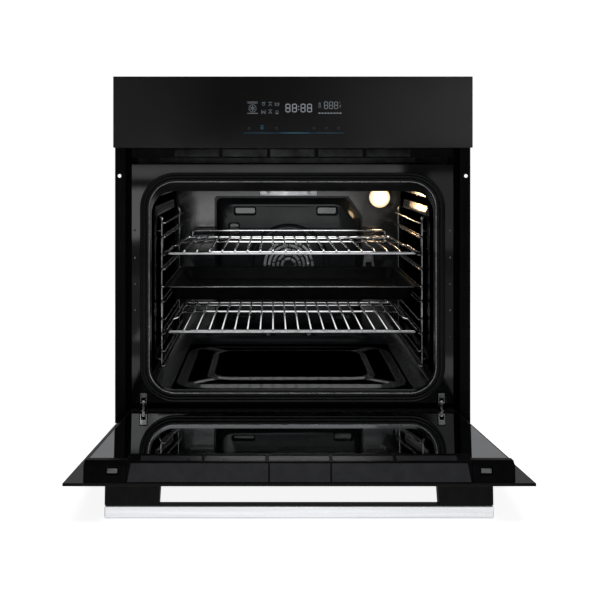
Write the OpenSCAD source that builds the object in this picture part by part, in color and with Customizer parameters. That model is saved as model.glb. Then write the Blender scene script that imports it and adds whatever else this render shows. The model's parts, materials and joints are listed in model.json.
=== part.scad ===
// Built-in electric wall oven with a drop-down door, drawn with the door open.
// X runs across the front, Y into the cabinet, Z up. The origin is on the cabinet face,
// at the middle of the width, in the plane of the base.

/* [Front] */
// Width of the control panel and of the door glass
front_w = 595; // [560:1:720]
// Height from the base to the top of the control panel
front_h = 595; // [560:1:720]
// Height of the control panel
panel_h = 118; // [110:1:140]
// How far the front glass stands out from the cabinet face
front_proj = 22; // [20:0.5:24]
// Thickness of the panel and door glass
glass_t = 4; // [3:0.5:5]
// Gap between the door and the control panel
door_gap = 4; // [3:0.5:8]
// Height of the door's lower edge above the base
door_bottom = 10; // [9:0.5:14]

/* [Carcass] */
// How far the front stands out beside the carcass on each side
front_overhang = 17.5; // [17:0.5:22]
// Depth of the carcass behind the cabinet face
body_d = 546; // [530:1:680]
// Step from the top of the control panel down to the top cover
top_step = 17; // [10:1:25]
// Thickness of the carcass and cavity sheet
sheet = 1.2; // [0.8:0.1:1.5]
// Setback of the toe below the front frame
toe_y = 24; // [23:0.5:30]

/* [Cavity] */
// Space for insulation between the cavity and each side of the carcass
side_space = 42; // [41:1:60]
// Space between the top of the cavity and the bottom of the control panel
top_space = 56; // [54:1:70]
// Space for the fan motor between the rear wall of the cavity and the back
rear_space = 76; // [76:1:100]
// Height of the cavity floor above the base
cavity_floor = 64; // [62:1:68]
// Corner radius of the cavity
cavity_r = 30; // [20:1:40]
// Setback of the front frame from the cabinet face
frame_y = 12; // [11:0.5:14]
// Depth of the lip that hangs over the top of the mouth
top_lip = 17; // [12:1:20]
// Height of the lip at the bottom of the mouth
bottom_lip = 6; // [4:1:10]
// Width of the door gasket
gasket_w = 14.5; // [12:0.5:16]

/* [Door] */
// Angle between the closed and the fully open door
open_angle = 85; // [80:0.5:88]
// Height of the hinge pin above the base
pivot_z = 32; // [31:0.5:34]
// Thickness of the door at its inner glass
door_t = 28.6; // [27:0.1:29.5]
// Setback of the inner door body from each side of the carcass
door_inset = 8.5; // [8:0.5:12]
// Height of the trim along the top edge
trim_h = 23.4; // [20:0.2:24]
// How far the trim stands proud of the inner glass
trim_rise = 7.6; // [4:0.2:8]
// Length of each end cap of the trim
cap_l = 54; // [40:1:60]
// Radius of the hinge pin
pin_r = 3; // [2.5:0.1:3.5]

/* [Handle] */
// Distance from each end of the handle bar to the side of the door glass
handle_inset = 50.5; // [40:0.5:70]
// Depth of the handle bar
handle_d = 17; // [14:0.5:17]
// Height of the handle bar
handle_h = 20; // [16:0.5:24]
// Clearance between the handle bar and the glass
handle_gap = 27; // [24:0.5:27]
// Length of each handle stand-off
standoff_l = 69; // [50:1:80]

/* [Racks] */
// Gap between the side rail of a rack and the cavity wall
rack_side_gap = 15; // [14:0.5:20]
// Gap between the rear of a rack and the fan cover
rack_rear_gap = 25.5; // [20:0.5:80]
// Height step between shelf levels
level_step = 56; // [50:1:58]
// Height of the first shelf level above the cavity floor
first_level = 34; // [30:1:38]
// Height of the upper wire of a level above its lower wire
wire_step = 24; // [22:1:28]
// Pitch of the surface wires of a rack
wire_pitch = 22; // [16:0.5:30]

/* [Hidden] */
$fn = 48;

// Clearances
slip = 0.4;          // between parts that lie next to each other
run = 0.06;          // radial play of a running fit
// Front planes and levels
glass_y = -front_proj;
glass_back = glass_y + glass_t;
panel_z = front_h - panel_h;
door_top = panel_z - door_gap;
half_front = front_w / 2;
// Carcass planes
half_body = half_front - front_overhang;
body_top = front_h - top_step;
rear_y = body_d - sheet;
fold = 17;
side_in = half_body - sheet;
case_screw_r = 2;
screw_head_h = 2.4;
case_screw_x = half_body - 11;
case_screw_z = [60, body_top / 2, body_top - 60];
flange_low = pivot_z - 16;
fix_z = panel_z - 47;
fix_inset = 10;
fix_r = 3;
// Supply entry
gland_x = -half_body + 90;
gland_z = body_top - 60;
gland_r = 9;
entry_r = 5.5;
// Cavity planes
half_cav = half_body - side_space;
cavity_depth = body_d - rear_space;
cav_top = panel_z - top_space;
mouth_low = cavity_floor + bottom_lip;
mouth_top = cav_top - top_lip;
mouth_r = cavity_r + 8;
frame_back = frame_y + sheet;
half_door = half_body - door_inset;
frame_half = half_door - 0.5;
frame_low = pivot_z + 14;
frame_top = cav_top + 28;
// Gasket ring
seal_in = half_cav + 4.5;
seal_low = cavity_floor - 1;
seal_top = cav_top;
seal_r = cavity_r + 15;
// Cooling air outlet, and the decks below and above its duct
grille_y = frame_y + 4;
grille_low = frame_top + 11;
air_z = frame_top - sheet;
deck_z = panel_z + 5;
// Fan
fan_z = (cavity_floor + cav_top) / 2 - 8.5;
fan_r = 72;
cover_y = cavity_depth - 19.5;
recess_r = 115;
recess_d = 13;
shaft_r = 4;
motor_y = cavity_depth + 32;
motor_l = 32;
motor_r = 31;
// Fan cover
cover_half = half_cav - 81;
cover_low = cavity_floor + 31;
cover_top = cav_top - 42;
cover_cut = [30, 43];
cover_edge = 12;
cover_screws = [[-43, cover_top + 8], [43, cover_top + 8], [-43, cover_low - 8],
    [43, cover_low - 8]];
// Heating elements
element_r = 3.5;
element_front = 130;
grill_z = cav_top - 10;
grill_x = half_cav - 48;
grill_bend = grill_x / 5;
ring_r = 92;
ring_leg = 12;
ring_leg_z = fan_z + sqrt(ring_r * ring_r - ring_leg * ring_leg);
// Probe tab and vent hole
probe_r = 2.5;
tab_x = half_cav - 68;
tab_z = fan_z + 8;
vent_y = cavity_depth - 34;
vent_z = cav_top - 44;
// Lamp
lamp_x = half_cav - 45;
lamp_z = cav_top - 45;
lens_r = 21.5;
// Blower above the duct
blow_y = 360;
blow_r = 30;
blow_half = 95;
scroll_r = 38;
blow_z = deck_z + sheet + scroll_r + 4;
// Hinges
hinge_x = frame_half - 20;
claw_t = 4;
notch_half = 7;
lever_y = frame_y + 2;
lever_z = pivot_z + 15;
lever_pin_r = 2;
receiver_low = 14;
receiver_top = frame_low + 14;
latch_y = toe_y + 14;
latch_z = pivot_z - 10;
// Door, in its closed place
door_in = glass_y + door_t;
trim_z = door_top - trim_h;
trim_front = glass_back + 0.2;
trim_back = door_in + trim_rise;
inner_z = pivot_z + 24;
profile_w = 33.5;
profile_x = half_door - profile_w;
// Handle
handle_l = front_w - 2 * handle_inset;
bar_y = glass_y - handle_gap - handle_d;
bar_z = trim_z - 13.6;
screw_z = trim_z - 5.6;
handle_screw_x = [handle_l / 2 - 57, handle_l / 2 - 15];
handle_screw_l = 18;
handle_screw_r = 2.1;
// Racks
rail_r = 3;
wire_r = 1.8;
rack_half = half_cav - rack_side_gap;
rack_y = frame_y + 45;
rack_d = cover_y - rack_rear_gap - rack_y;
rung_x = rack_half - 1;
rung_r = 2;
post_r = 2.5;
post_x = rack_half + 0.5 + post_r;
rail_lift = rail_r + rung_r;
function level(n) = cavity_floor + first_level + n * level_step;
ladder_y = [frame_y + 63, cavity_depth - 50];
hook_r = 2.2;
hook_z = [level(0) + 11, level(4) + 11];
// Control panel
window_w = 291;
window_low = panel_z + 15;
window_h = 86;
board_t = 1.6;
board_back = glass_back + 6;

module slab(x0, x1, y0, y1, z0, z1) {
    translate([x0, y0, z0]) cube([x1 - x0, y1 - y0, z1 - z0]);
}

// The same slab on both sides of the middle
module slabs(x0, x1, y0, y1, z0, z1) {
    for (s = [-1, 1])
        slab(s > 0 ? x0 : -x1, s > 0 ? x1 : -x0, y0, y1, z0, z1);
}

// Extrudes an outline drawn as (Y, Z) along X
module along_x(x0, x1) {
    translate([x0, 0, 0]) rotate([90, 0, 90]) linear_extrude(x1 - x0) children();
}

// Extrudes an outline drawn as (X, Z) along Y
module along_y(y0, y1) {
    translate([0, y1, 0]) rotate([90, 0, 0]) linear_extrude(y1 - y0) children();
}

module rod_x(x0, x1, y, z, r) {
    translate([x0, y, z]) rotate([0, 90, 0]) cylinder(r = r, h = x1 - x0);
}

module rod_y(y0, y1, x, z, r) {
    translate([x, y0, z]) rotate([-90, 0, 0]) cylinder(r = r, h = y1 - y0);
}

module rod_z(z0, z1, x, y, r) {
    translate([x, y, z0]) cylinder(r = r, h = z1 - z0);
}

// Rectangle with rounded corners
module round_rect(x0, x1, y0, y1, r) {
    translate([x0 + r, y0]) square([x1 - x0 - 2 * r, y1 - y0]);
    translate([x0, y0 + r]) square([x1 - x0, y1 - y0 - 2 * r]);
    for (x = [x0 + r, x1 - r], y = [y0 + r, y1 - r])
        translate([x, y]) circle(r);
}

// Long hole with round ends
module slot(length, width) {
    square([length - width, width], center = true);
    for (s = [-1, 1])
        translate([s * (length - width) / 2, 0]) circle(width / 2);
}

// Right half turned into the left half when s is -1
module side(s) {
    if (s > 0) children();
    else mirror([1, 0, 0]) children();
}

// Moves a part of the door from its closed place to its open place
module on_door() {
    translate([0, 0, pivot_z]) rotate([open_angle, 0, 0]) translate([0, 0, -pivot_z]) children();
}

// ---- Carcass ----

module base_plate() {
    wall_top = frame_low - sheet;
    rim = 16;
    notch_low = 14;
    vent_rows = [toe_y + 66, body_d - 126];
    color("silver") difference() {
        union() {
            slab(-side_in, side_in, toe_y, rear_y, 0, sheet);
            slab(-side_in + fold, side_in - fold, toe_y, toe_y + sheet, sheet, wall_top);
            slabs(side_in - sheet, side_in, toe_y + sheet, rear_y, sheet, rim);
        }
        for (s = [-1, 1])
            slab(s * hinge_x - notch_half, s * hinge_x + notch_half, toe_y - 1, toe_y + 3,
                notch_low, wall_top + 1);
        for (x = [-160:80:160], y = vent_rows)
            translate([x, y, -1]) linear_extrude(sheet + 2) slot(50, 6);
    }
}

module side_panel(s) {
    louvre_y = body_d - 190;
    louvre_z = body_top - 30;
    louvre_pitch = 9;
    fold_end = 20;
    color("silver") side(s) difference() {
        union() {
            along_x(side_in, half_body) polygon([
                [toe_y, 0], [rear_y, 0], [rear_y, body_top - sheet], [0, body_top - sheet],
                [0, panel_z + 1], [toe_y, panel_z + 1]]);
            slab(side_in - fold, side_in, toe_y, toe_y + sheet, frame_low, panel_z + 1);
            slab(side_in - fold, side_in, rear_y - sheet, rear_y, fold_end, body_top - fold_end);
        }
        for (k = [0:5])
            along_x(side_in - 1, half_body + 1)
                translate([louvre_y, louvre_z - louvre_pitch * k]) slot(120, 4);
        for (z = case_screw_z)
            rod_y(rear_y - 3, rear_y + 1, case_screw_x, z, case_screw_r + 0.2);
    }
}

module side_panel_left() { side_panel(-1); }

module side_panel_right() { side_panel(1); }

module top_cover() {
    color("gainsboro") difference() {
        slab(-half_body, half_body, 0, rear_y, body_top - sheet, body_top);
        for (x = [-120:30:120])
            translate([x, blow_y + 30, body_top - 5]) linear_extrude(10)
                rotate(90) slot(90, 6);
    }
}

module rear_panel() {
    louvre_pitch = 15;
    color("silver") difference() {
        slab(-half_body, half_body, rear_y, body_d, 0, body_top);
        for (s = [-1, 1], z = case_screw_z)
            rod_y(rear_y - 1, body_d + 1, s * case_screw_x, z, case_screw_r + 0.2);
        rod_y(rear_y - 1, body_d + 1, gland_x, gland_z, gland_r);
        for (k = [-3:3])
            along_y(rear_y - 1, body_d + 1) translate([0, fan_z + louvre_pitch * k]) slot(150, 5);
    }
}

module case_screws() {
    color("dimgray") for (s = [-1, 1], z = case_screw_z) {
        rod_y(rear_y - 6, body_d, s * case_screw_x, z, case_screw_r);
        rod_y(body_d, body_d + screw_head_h, s * case_screw_x, z, 2 * case_screw_r);
    }
}

// Angle that closes the gap beside the front frame and carries the cabinet fixing hole
module mounting_flange(s) {
    flange_top = panel_z + 2;
    leg = 40;
    leg_hole_y = 32;
    color("#1b1b1d") side(s) difference() {
        union() {
            slab(half_body + sheet, half_front, -sheet, 0, flange_low, flange_top);
            slab(half_body, half_body + sheet, -sheet, leg, flange_low, flange_top);
        }
        rod_y(-sheet - 1, 1, half_body + fix_inset, fix_z, fix_r);
        for (z = [flange_low + 40, panel_z - 60])
            rod_x(half_body - 1, half_body + sheet + 1, leg_hole_y, z, case_screw_r + 0.2);
    }
}

module mounting_flange_left() { mounting_flange(-1); }

module mounting_flange_right() { mounting_flange(1); }

module front_frame() {
    mark_x = frame_half - 5;
    mark_r = 2;
    notch_top = lever_z + 19;
    color("#202226") difference() {
        union() {
            slab(-frame_half, frame_half, frame_y, frame_back, frame_low, frame_top);
            slabs(frame_half - sheet, frame_half, frame_back, toe_y, frame_low, frame_top);
            slab(-frame_half, frame_half, frame_back, toe_y, frame_top - sheet, frame_top);
            slab(-frame_half, frame_half, frame_back, toe_y, frame_low, frame_low + sheet);
        }
        along_y(frame_y - 1, frame_back + 1)
            round_rect(-half_cav, half_cav, mouth_low, mouth_top, mouth_r);
        for (s = [-1, 1]) {
            slab(s * hinge_x - notch_half, s * hinge_x + notch_half, frame_y - 1, toe_y + 1,
                frame_low - 1, notch_top);
            for (f = [0.28, 0.39, 0.5, 0.61, 0.725])
                rod_y(frame_y - 1, frame_back + 1, s * mark_x,
                    frame_low + f * (frame_top - frame_low), mark_r);
        }
    }
}

// ---- Cavity ----

module cavity_outline(grow) {
    round_rect(-half_cav - grow, half_cav + grow, cavity_floor - grow, cav_top + grow,
        cavity_r + grow);
}

module cavity_wrap() {
    color("#26282c") difference() {
        along_y(frame_back, cavity_depth) difference() {
            cavity_outline(sheet);
            cavity_outline(0);
        }
        for (s = [-1, 1], y = ladder_y, z = hook_z)
            rod_x(s * half_cav - 5, s * half_cav + 5, y, z, hook_r + slip);
        along_x(-half_cav - 5, -half_cav + 5) translate([vent_y, vent_z]) rotate(90)
            slot(22, 12);
    }
}

module rear_holes() {
    translate([0, fan_z]) circle(shaft_r + 3);
    translate([lamp_x, lamp_z]) circle(lens_r - 1.5);
    for (x = [-grill_x, grill_x]) translate([x, grill_z]) circle(element_r + 1);
    for (s = [-1, 1]) translate([s * ring_leg, ring_leg_z]) circle(element_r + 1);
    translate([tab_x, tab_z]) circle(probe_r + slip);
}

module cavity_rear_wall() {
    color("#26282c") difference() {
        union() {
            along_y(cavity_depth, cavity_depth + sheet) difference() {
                cavity_outline(9);
                translate([0, fan_z]) circle(recess_r);
            }
            translate([0, cavity_depth, fan_z]) rotate([-90, 0, 0]) difference() {
                cylinder(r = recess_r + sheet, h = recess_d + sheet);
                translate([0, 0, -1]) cylinder(r = recess_r, h = recess_d + 1);
            }
        }
        along_y(cavity_depth - 5, cavity_depth + 30) rear_holes();
        for (p = cover_screws)
            rod_y(cavity_depth - 1, cavity_depth + 5, p[0], p[1], 2.2);
    }
}

// Ribbed rubber ring that the closed door presses on
module door_gasket() {
    face = door_in + 0.8;
    color("#151515") difference() {
        along_y(face, frame_y) gasket_ring(0, gasket_w);
        along_y(face - 1, face + 1.5) gasket_ring(gasket_w * 0.24, gasket_w * 0.4);
        along_y(face - 1, face + 1.5) gasket_ring(gasket_w * 0.6, gasket_w * 0.76);
    }
}

module gasket_ring(a, b) {
    difference() {
        round_rect(-seal_in - b, seal_in + b, seal_low - b, seal_top + b, seal_r + b);
        round_rect(-seal_in - a, seal_in + a, seal_low - a, seal_top + a, seal_r + a);
    }
}

module cover_outline(inset) {
    h = cover_half - inset;
    a = cover_low + inset;
    b = cover_top - inset;
    e = cover_edge;
    polygon([[-h, a + e], [-h + e, a], [h - e, a], [h, a + e], [h, b - cover_cut[1]],
        [h - cover_cut[0], b], [-h + e, b], [-h, b - e]]);
}

module arc_slots(radius, width, spokes) {
    difference() {
        circle(radius + width / 2);
        circle(radius - width / 2);
        for (k = [0:spokes - 1]) rotate(k * 360 / spokes + radius)
            translate([0, -1.5]) square([radius + width, 3]);
    }
}

// Sheet box over the fan, with the suction grille and the hot air openings
module fan_cover() {
    color("#4a5055") difference() {
        union() {
            along_y(cover_y, cover_y + sheet) cover_outline(0);
            along_y(cover_y, cavity_depth - 0.2) difference() {
                cover_outline(0);
                cover_outline(sheet);
            }
            for (p = cover_screws) along_y(cavity_depth - sheet - 0.2, cavity_depth - 0.2)
                translate([p[0], p[1] > fan_z ? cover_top + 6 : cover_low - 6])
                    square([30, 14], center = true);
        }
        along_y(cover_y - 1, cover_y + 3) {
            translate([0, fan_z]) for (r = [12, 21, 30, 39, 48]) arc_slots(r, 5, 6);
            translate([65 - cover_half, cover_top - 30]) slot(46, 16);
            translate([39 - cover_half, cover_top - 69]) rotate(90) slot(28, 14);
            translate([cover_half - 76, cover_top - 30]) slot(46, 16);
            translate([63 - cover_half, cover_low + 29]) slot(46, 9);
            translate([cover_half - 43, cover_low + 27]) slot(42, 16);
        }
        for (x = [-cover_half, cover_half - 5], k = [-3:3])
            slab(x - 1, x + 6, cover_y + 5, cover_y + 14, fan_z - 9 + 30 * k, fan_z + 9 + 30 * k);
        for (p = cover_screws)
            rod_y(cavity_depth - 5, cavity_depth + 1, p[0], p[1], 2.2);
    }
}

module fan_cover_screws() {
    color("#303030") for (p = cover_screws) {
        tab_face = cavity_depth - sheet - 0.2;
        rod_y(tab_face, cavity_depth + 4, p[0], p[1], case_screw_r);
        rod_y(tab_face - screw_head_h, tab_face, p[0], p[1], 2 * case_screw_r);
    }
}

// Wire ladder that carries the shelves, hooked into holes in the cavity side
module ladder(s) {
    low = level(0) - 8;
    high = level(4) + wire_step + 14;
    color("lightgray") side(s) {
        for (y = ladder_y) {
            rod_z(low, high, post_x, y, post_r);
            for (z = hook_z) rod_x(post_x, half_cav + 2.5, y, z, hook_r);
        }
        for (n = [0:4]) {
            rod_y(ladder_y[0] - 12, ladder_y[1] + 12, rung_x, level(n), rung_r);
            rod_y(ladder_y[0] - 12, ladder_y[1] + 12, rung_x + 7, level(n), rung_r);
            rod_y(ladder_y[0] - 12, ladder_y[1] + 12, rung_x, level(n) + wire_step, rung_r);
        }
    }
}

module ladder_left() { ladder(-1); }

module ladder_right() { ladder(1); }

module half_bend(x, y, z, r, dir) {
    translate([x, y, z]) rotate([0, 0, dir > 0 ? 0 : 180])
        rotate_extrude(angle = 180) translate([r, 0]) circle(element_r);
}

// Sheathed heating rod folded under the cavity ceiling
module grill_element() {
    y0 = element_front;
    y1 = cavity_depth - 75;
    color("#5c5f63") {
        for (k = [0:5]) {
            x = 2 * grill_bend * k - grill_x;
            rod_y(y0, (k == 0 || k == 5) ? cavity_depth + 22 : y1, x, grill_z, element_r);
        }
        for (k = [0:4]) {
            x = grill_bend * (2 * k + 1) - grill_x;
            half_bend(x, k % 2 == 0 ? y0 : y1, grill_z, grill_bend, k % 2 == 0 ? -1 : 1);
        }
    }
}

// Heating rod below the cavity floor
module bottom_element() {
    z = cavity_floor - sheet - element_r - 0.5;
    x = half_cav - 60;
    r = 40;
    color("#5c5f63") {
        for (s = [-1, 1]) {
            rod_y(element_front, cavity_depth - 20, s * x, z, element_r);
            translate([s * (x - r), element_front, z]) rotate([0, 0, s > 0 ? -90 : 180])
                rotate_extrude(angle = 90) translate([r, 0]) circle(element_r);
        }
        rod_x(-x + r, x - r, element_front - r, z, element_r);
    }
}

// Round heating rod around the convection impeller
module ring_element() {
    y = cavity_depth + 2;
    gap = asin(ring_leg / ring_r);
    color("#5c5f63") {
        translate([0, y, fan_z]) rotate([90, 0, 0]) rotate([0, 0, 90 + gap])
            rotate_extrude(angle = 360 - 2 * gap) translate([ring_r, 0]) circle(element_r);
        for (s = [-1, 1]) {
            rod_y(y, cavity_depth + 30, s * ring_leg, ring_leg_z, element_r);
            translate([s * ring_leg, y, ring_leg_z]) sphere(element_r + 0.4);
        }
    }
}

// Glass wool blankets around the cavity
module insulation() {
    x0 = half_cav + sheet + 2;
    x1 = side_in - fold - 2;
    y0 = toe_y + 30;
    y1 = cavity_depth - 4;
    low = 22;
    back = cavity_depth + recess_d + sheet + 2;
    back_t = 14;
    motor_gap = [90, 60];
    color("khaki") {
        slabs(x0, x1, y0, y1, cavity_floor + 2, cav_top - 2);
        slab(-x1, x1, y0, y1, cav_top + 3, air_z - 1);
        slab(-x1, x1, y0, y1, low, cavity_floor - sheet - 2 * element_r - 2);
        difference() {
            slab(-x1, x1, back, back + back_t, low, air_z - 1);
            along_y(back - 1, back + back_t + 1) {
                translate([-motor_gap[0], fan_z - motor_gap[1]]) square(2 * motor_gap);
                translate([lamp_x, lamp_z]) circle(32);
                for (x = [-grill_x, grill_x]) translate([x, grill_z]) circle(12);
                translate([0, ring_leg_z]) circle(30);
                translate([tab_x, tab_z]) circle(12);
            }
        }
    }
}

// ---- Convection fan ----

module fan_motor() {
    color("#6a6a6a") difference() {
        union() {
            rod_y(motor_y, motor_y + motor_l, 0, fan_z, motor_r);
            slab(-26, 26, motor_y + 5, motor_y + motor_l - 5, fan_z - 40, fan_z + 40);
        }
        rod_y(motor_y - 1, motor_y + motor_l + 1, 0, fan_z, shaft_r + run);
    }
}

module motor_bracket() {
    y1 = motor_y;
    y0 = motor_y - 1.5;
    foot = cavity_depth + recess_d + sheet;
    color("silver") difference() {
        union() {
            slab(-80, 80, y0, y1, fan_z - 16, fan_z + 16);
            rod_y(y0, y1, 0, fan_z, 34);
            slabs(78.5, 80, foot, y0, fan_z - 16, fan_z + 16);
        }
        rod_y(y0 - 1, y1 + 1, 0, fan_z, shaft_r + 5);
    }
}

module convection_impeller() {
    y0 = cover_y + 6;
    y1 = cavity_depth + 4;
    color("#8a8d90") {
        rod_y(y1, y1 + 1.2, 0, fan_z, fan_r);
        rod_y(y0 + 6, y1, 0, fan_z, 11);
        rod_y(y0 + 2, motor_y + motor_l + 6, 0, fan_z, shaft_r);
        for (k = [0:11])
            translate([0, y0, fan_z]) rotate([0, k * 30, 0])
                translate([34, 0, -0.6]) cube([fan_r - 35, y1 - y0 + 0.6, 1.2]);
    }
}

// ---- Lamp and probe ----

module lamp_holder() {
    y0 = cavity_depth + sheet;
    color("#d9d4c8") difference() {
        union() {
            rod_y(y0, y0 + 24, lamp_x, lamp_z, lens_r + 4);
            slab(lamp_x - 30, lamp_x + 30, y0, y0 + 3, lamp_z - 12, lamp_z + 12);
            slab(lamp_x - 8, lamp_x + 8, y0 + 24, y0 + 34, lamp_z - 10, lamp_z + 10);
        }
        rod_y(y0 - 1, y0 + 21, lamp_x, lamp_z, lens_r - 3);
    }
}

module lamp_bulb() {
    y1 = cavity_depth + sheet + 21;
    color("#fff3d0") {
        rod_y(y1 - 10, y1, lamp_x, lamp_z, 7);
        rod_y(y1 - 22, y1 - 10, lamp_x, lamp_z, 6);
        translate([lamp_x, y1 - 22, lamp_z]) sphere(6);
    }
}

// Screw-in glass dome in front of the bulb
module lamp_glass() {
    y1 = cavity_depth - 0.2;
    flat = y1 - 8;
    color("#fff0c0") difference() {
        union() {
            rod_y(flat, y1, lamp_x, lamp_z, lens_r);
            translate([lamp_x, flat, lamp_z]) rotate([90, 0, 0])
                cylinder(r1 = lens_r, r2 = lens_r - 6, h = 5);
        }
        rod_y(flat - 3, y1 + 1, lamp_x, lamp_z, lens_r - 7);
    }
}

module temperature_probe() {
    y1 = cavity_depth - 0.2;
    reach = 45;
    tail = 28;
    color("lightgray") {
        difference() {
            slab(tab_x - 12, tab_x + 12, y1 - sheet, y1, tab_z - 15, tab_z + 15);
            rod_y(y1 - 5, y1 + 1, tab_x, tab_z, probe_r);
        }
        rod_y(y1 - reach, y1 + tail, tab_x, tab_z, probe_r);
    }
}

// ---- Cooling air duct and electronics ----

module air_deck() {
    x = side_in - fold;
    color("gainsboro") slab(-x, x, toe_y, rear_y - sheet, air_z, frame_top);
}

module upper_deck() {
    x = side_in - 0.2;
    color("gainsboro") difference() {
        slab(-x, x, toe_y, rear_y - sheet - slip, deck_z, deck_z + sheet);
        slab(-blow_half - 2, blow_half + 2, blow_y - scroll_r + 1.5, blow_y - 10, deck_z - 1,
            deck_z + 3);
    }
}

module scroll(inset) {
    circle(scroll_r - inset);
    translate([-scroll_r + inset, -scroll_r - 4]) square([30 - 2 * inset, scroll_r + 4]);
}

// Scroll case of the cross-flow blower, open to the back and down into the duct
module blower_housing() {
    x = blow_half + 3;
    color("lightgray") difference() {
        translate([0, blow_y, blow_z]) union() {
            difference() {
                along_x(-x, x) scroll(0);
                along_x(-x - 1, x + 1) scroll(sheet);
                along_x(-x + 3, x - 3) rotate(10) square([60, 60]);
                along_x(-x - 1, x + 1) translate([-scroll_r + sheet, -scroll_r - 5])
                    square([30 - 2 * sheet, 6]);
            }
            for (s = [-1, 1])
                along_x(s > 0 ? x - sheet : -x, s > 0 ? x : -x + sheet) scroll(sheet - 0.1);
        }
        rod_x(-x - 1, x + 1, blow_y, blow_z, shaft_r + run);
    }
}

module blower_impeller() {
    color("#9aa0a4") {
        for (x = [-blow_half, -1, blow_half - 2]) rod_x(x, x + 2, blow_y, blow_z, blow_r);
        rod_x(-blow_half - 8, blow_half + 52, blow_y, blow_z, shaft_r);
        for (k = [0:19])
            translate([-blow_half, blow_y, blow_z]) rotate([k * 18, 0, 0])
                translate([0, blow_r - 8, -0.5]) cube([2 * blow_half, 7, 1]);
    }
}

module blower_motor() {
    x0 = blow_half + 8;
    color("#6a6a6a") difference() {
        union() {
            slab(x0, x0 + 36, blow_y - 24, blow_y + 24, blow_z - 20, blow_z + 20);
            slab(x0 + 6, x0 + 30, blow_y - 18, blow_y + 18, deck_z + sheet, blow_z - 20);
        }
        rod_x(x0 - 1, x0 + 37, blow_y, blow_z, shaft_r + run);
    }
}

module power_board() {
    size = [190, 120];
    inset = 8;
    leg = 8;
    z = deck_z + sheet;
    top = z + leg + board_t;
    translate([-half_body + 40, 70, 0]) color("#2f5d3a") {
        slab(0, size[0], 0, size[1], z + leg, top);
        for (x = [inset, size[0] - inset], y = [inset, size[1] - inset]) rod_z(z, z + leg, x, y, 3);
        for (k = [0:4]) translate([14 + 26 * k, 16, 0]) slab(0, 20, 0, 16, top, top + 15.4);
        slab(20, 60, 60, 95, top, top + 29.4);
        for (k = [0:2]) rod_z(top, top + 22.4, 90 + 24 * k, 75, 8);
    }
}

module display_board() {
    color("#2f5d3a") difference() {
        slab(-150, 150, board_back, board_back + board_t, window_low, window_low + window_h);
        for (x = [-143, 143], z = [window_low + 7, window_low + window_h - 7])
            rod_y(glass_back, 0, x, z, 1.7);
    }
}

module display_module() {
    edge = 12;
    x = window_w / 2 - edge;
    color("#0c0c10") slab(-x, x, glass_back + 0.2, board_back, window_low + edge,
        window_low + window_h - edge);
}

module control_panel_glass() {
    color("#1c1c1e") slab(-half_front, half_front, glass_y, glass_back, panel_z, front_h);
}

// Moulded frame that holds the panel glass and the display board
module panel_carrier() {
    x = half_front - 6;
    wall = 2.5;
    color("#222222") difference() {
        union() {
            slab(-x, x, glass_back, -2, panel_z + 3, front_h - 3);
            slabs(side_in - 3, side_in - slip, -2, 60, deck_z + 18, body_top - 20);
        }
        slab(-x + wall, x - wall, glass_back - 1, -4, panel_z + 3 + wall, front_h - 3 - wall);
        for (s = [-1, 1])
            slab(s > 0 ? 170 : -260, s > 0 ? 260 : -170, -5, 0, panel_z + 25, front_h - 30);
        slab(-120, 120, -5, 0, panel_z + 30, front_h - 35);
    }
}

// Outlet of the cooling air between the door and the panel
module vent_grille() {
    x = frame_half + 1;
    pitch = 81;
    rib = 6;
    color("#26282b") difference() {
        union() {
            slab(-x, x, grille_y, grille_y + 2, grille_low, panel_z);
            slab(-x, x, grille_y - 3, grille_y, grille_low, grille_low + sheet);
            slabs(side_in - fold, x, grille_y + 2, toe_y, grille_low, panel_z - 1);
        }
        for (k = [-2:2])
            slab(k * pitch - (pitch - rib) / 2, k * pitch + (pitch - rib) / 2, grille_y - 1,
                grille_y + 3, grille_low + 2.5, panel_z - 2.5);
    }
}

module terminal_block() {
    pole_pitch = 12;
    half_w = 35;
    low = deck_z + sheet;
    color("ivory") difference() {
        slab(gland_x - half_w, gland_x + half_w, rear_y - 60, rear_y - 25, low, low + 38);
        for (k = [-2:2])
            rod_z(deck_z + 25, low + 40, gland_x + pole_pitch * k, rear_y - 42, 3);
    }
}

// Plain bush in the rear panel where the supply cable goes in
module cable_gland() {
    color("#333333") difference() {
        union() {
            rod_y(rear_y - 10, body_d, gland_x, gland_z, gland_r - 0.1);
            rod_y(body_d, body_d + 2, gland_x, gland_z, gland_r + 4);
        }
        rod_y(rear_y - 11, body_d + 3, gland_x, gland_z, entry_r);
    }
}

// ---- Hinges ----

module hinge_receivers() {
    y0 = toe_y + sheet + 0.2;
    y1 = y0 + 26;
    wall = 1.5;
    x = claw_t / 2 + 1.5;
    color("silver") for (s = [-1, 1]) translate([s * hinge_x, 0, 0]) {
        slabs(x, x + wall, y0, y1, receiver_low, receiver_top);
        slab(-x, x, y1 - wall, y1, receiver_low, receiver_top);
        slab(-x, x, y0, y1, receiver_low, receiver_low + wall);
        rod_x(-x, x, latch_y, latch_z, 3);
    }
}

// Flat steel arm that hooks into the receiver and carries the hinge pin
module hinge_claw(s) {
    color("gainsboro") side(s) translate([hinge_x, 0, 0]) {
        along_x(-claw_t / 2, claw_t / 2) difference() {
            union() {
                translate([0, pivot_z]) circle(6);
                translate([0, pivot_z - 6]) square([toe_y + 20, 12]);
                translate([toe_y + 4, pivot_z - 12]) square([16, 30]);
                translate([lever_y, lever_z]) circle(5);
                translate([lever_y - 5, pivot_z]) square([10, 15]);
            }
            translate([latch_y, latch_z]) circle(3.3);
            translate([latch_y - 3.3, latch_z - 10]) square([6.6, 10]);
            translate([lever_y, lever_z]) circle(lever_pin_r + run);
        }
        rod_x(-6.8, 6.8, 0, pivot_z, pin_r);
    }
}

module hinge_claw_left() { hinge_claw(-1); }

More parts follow.
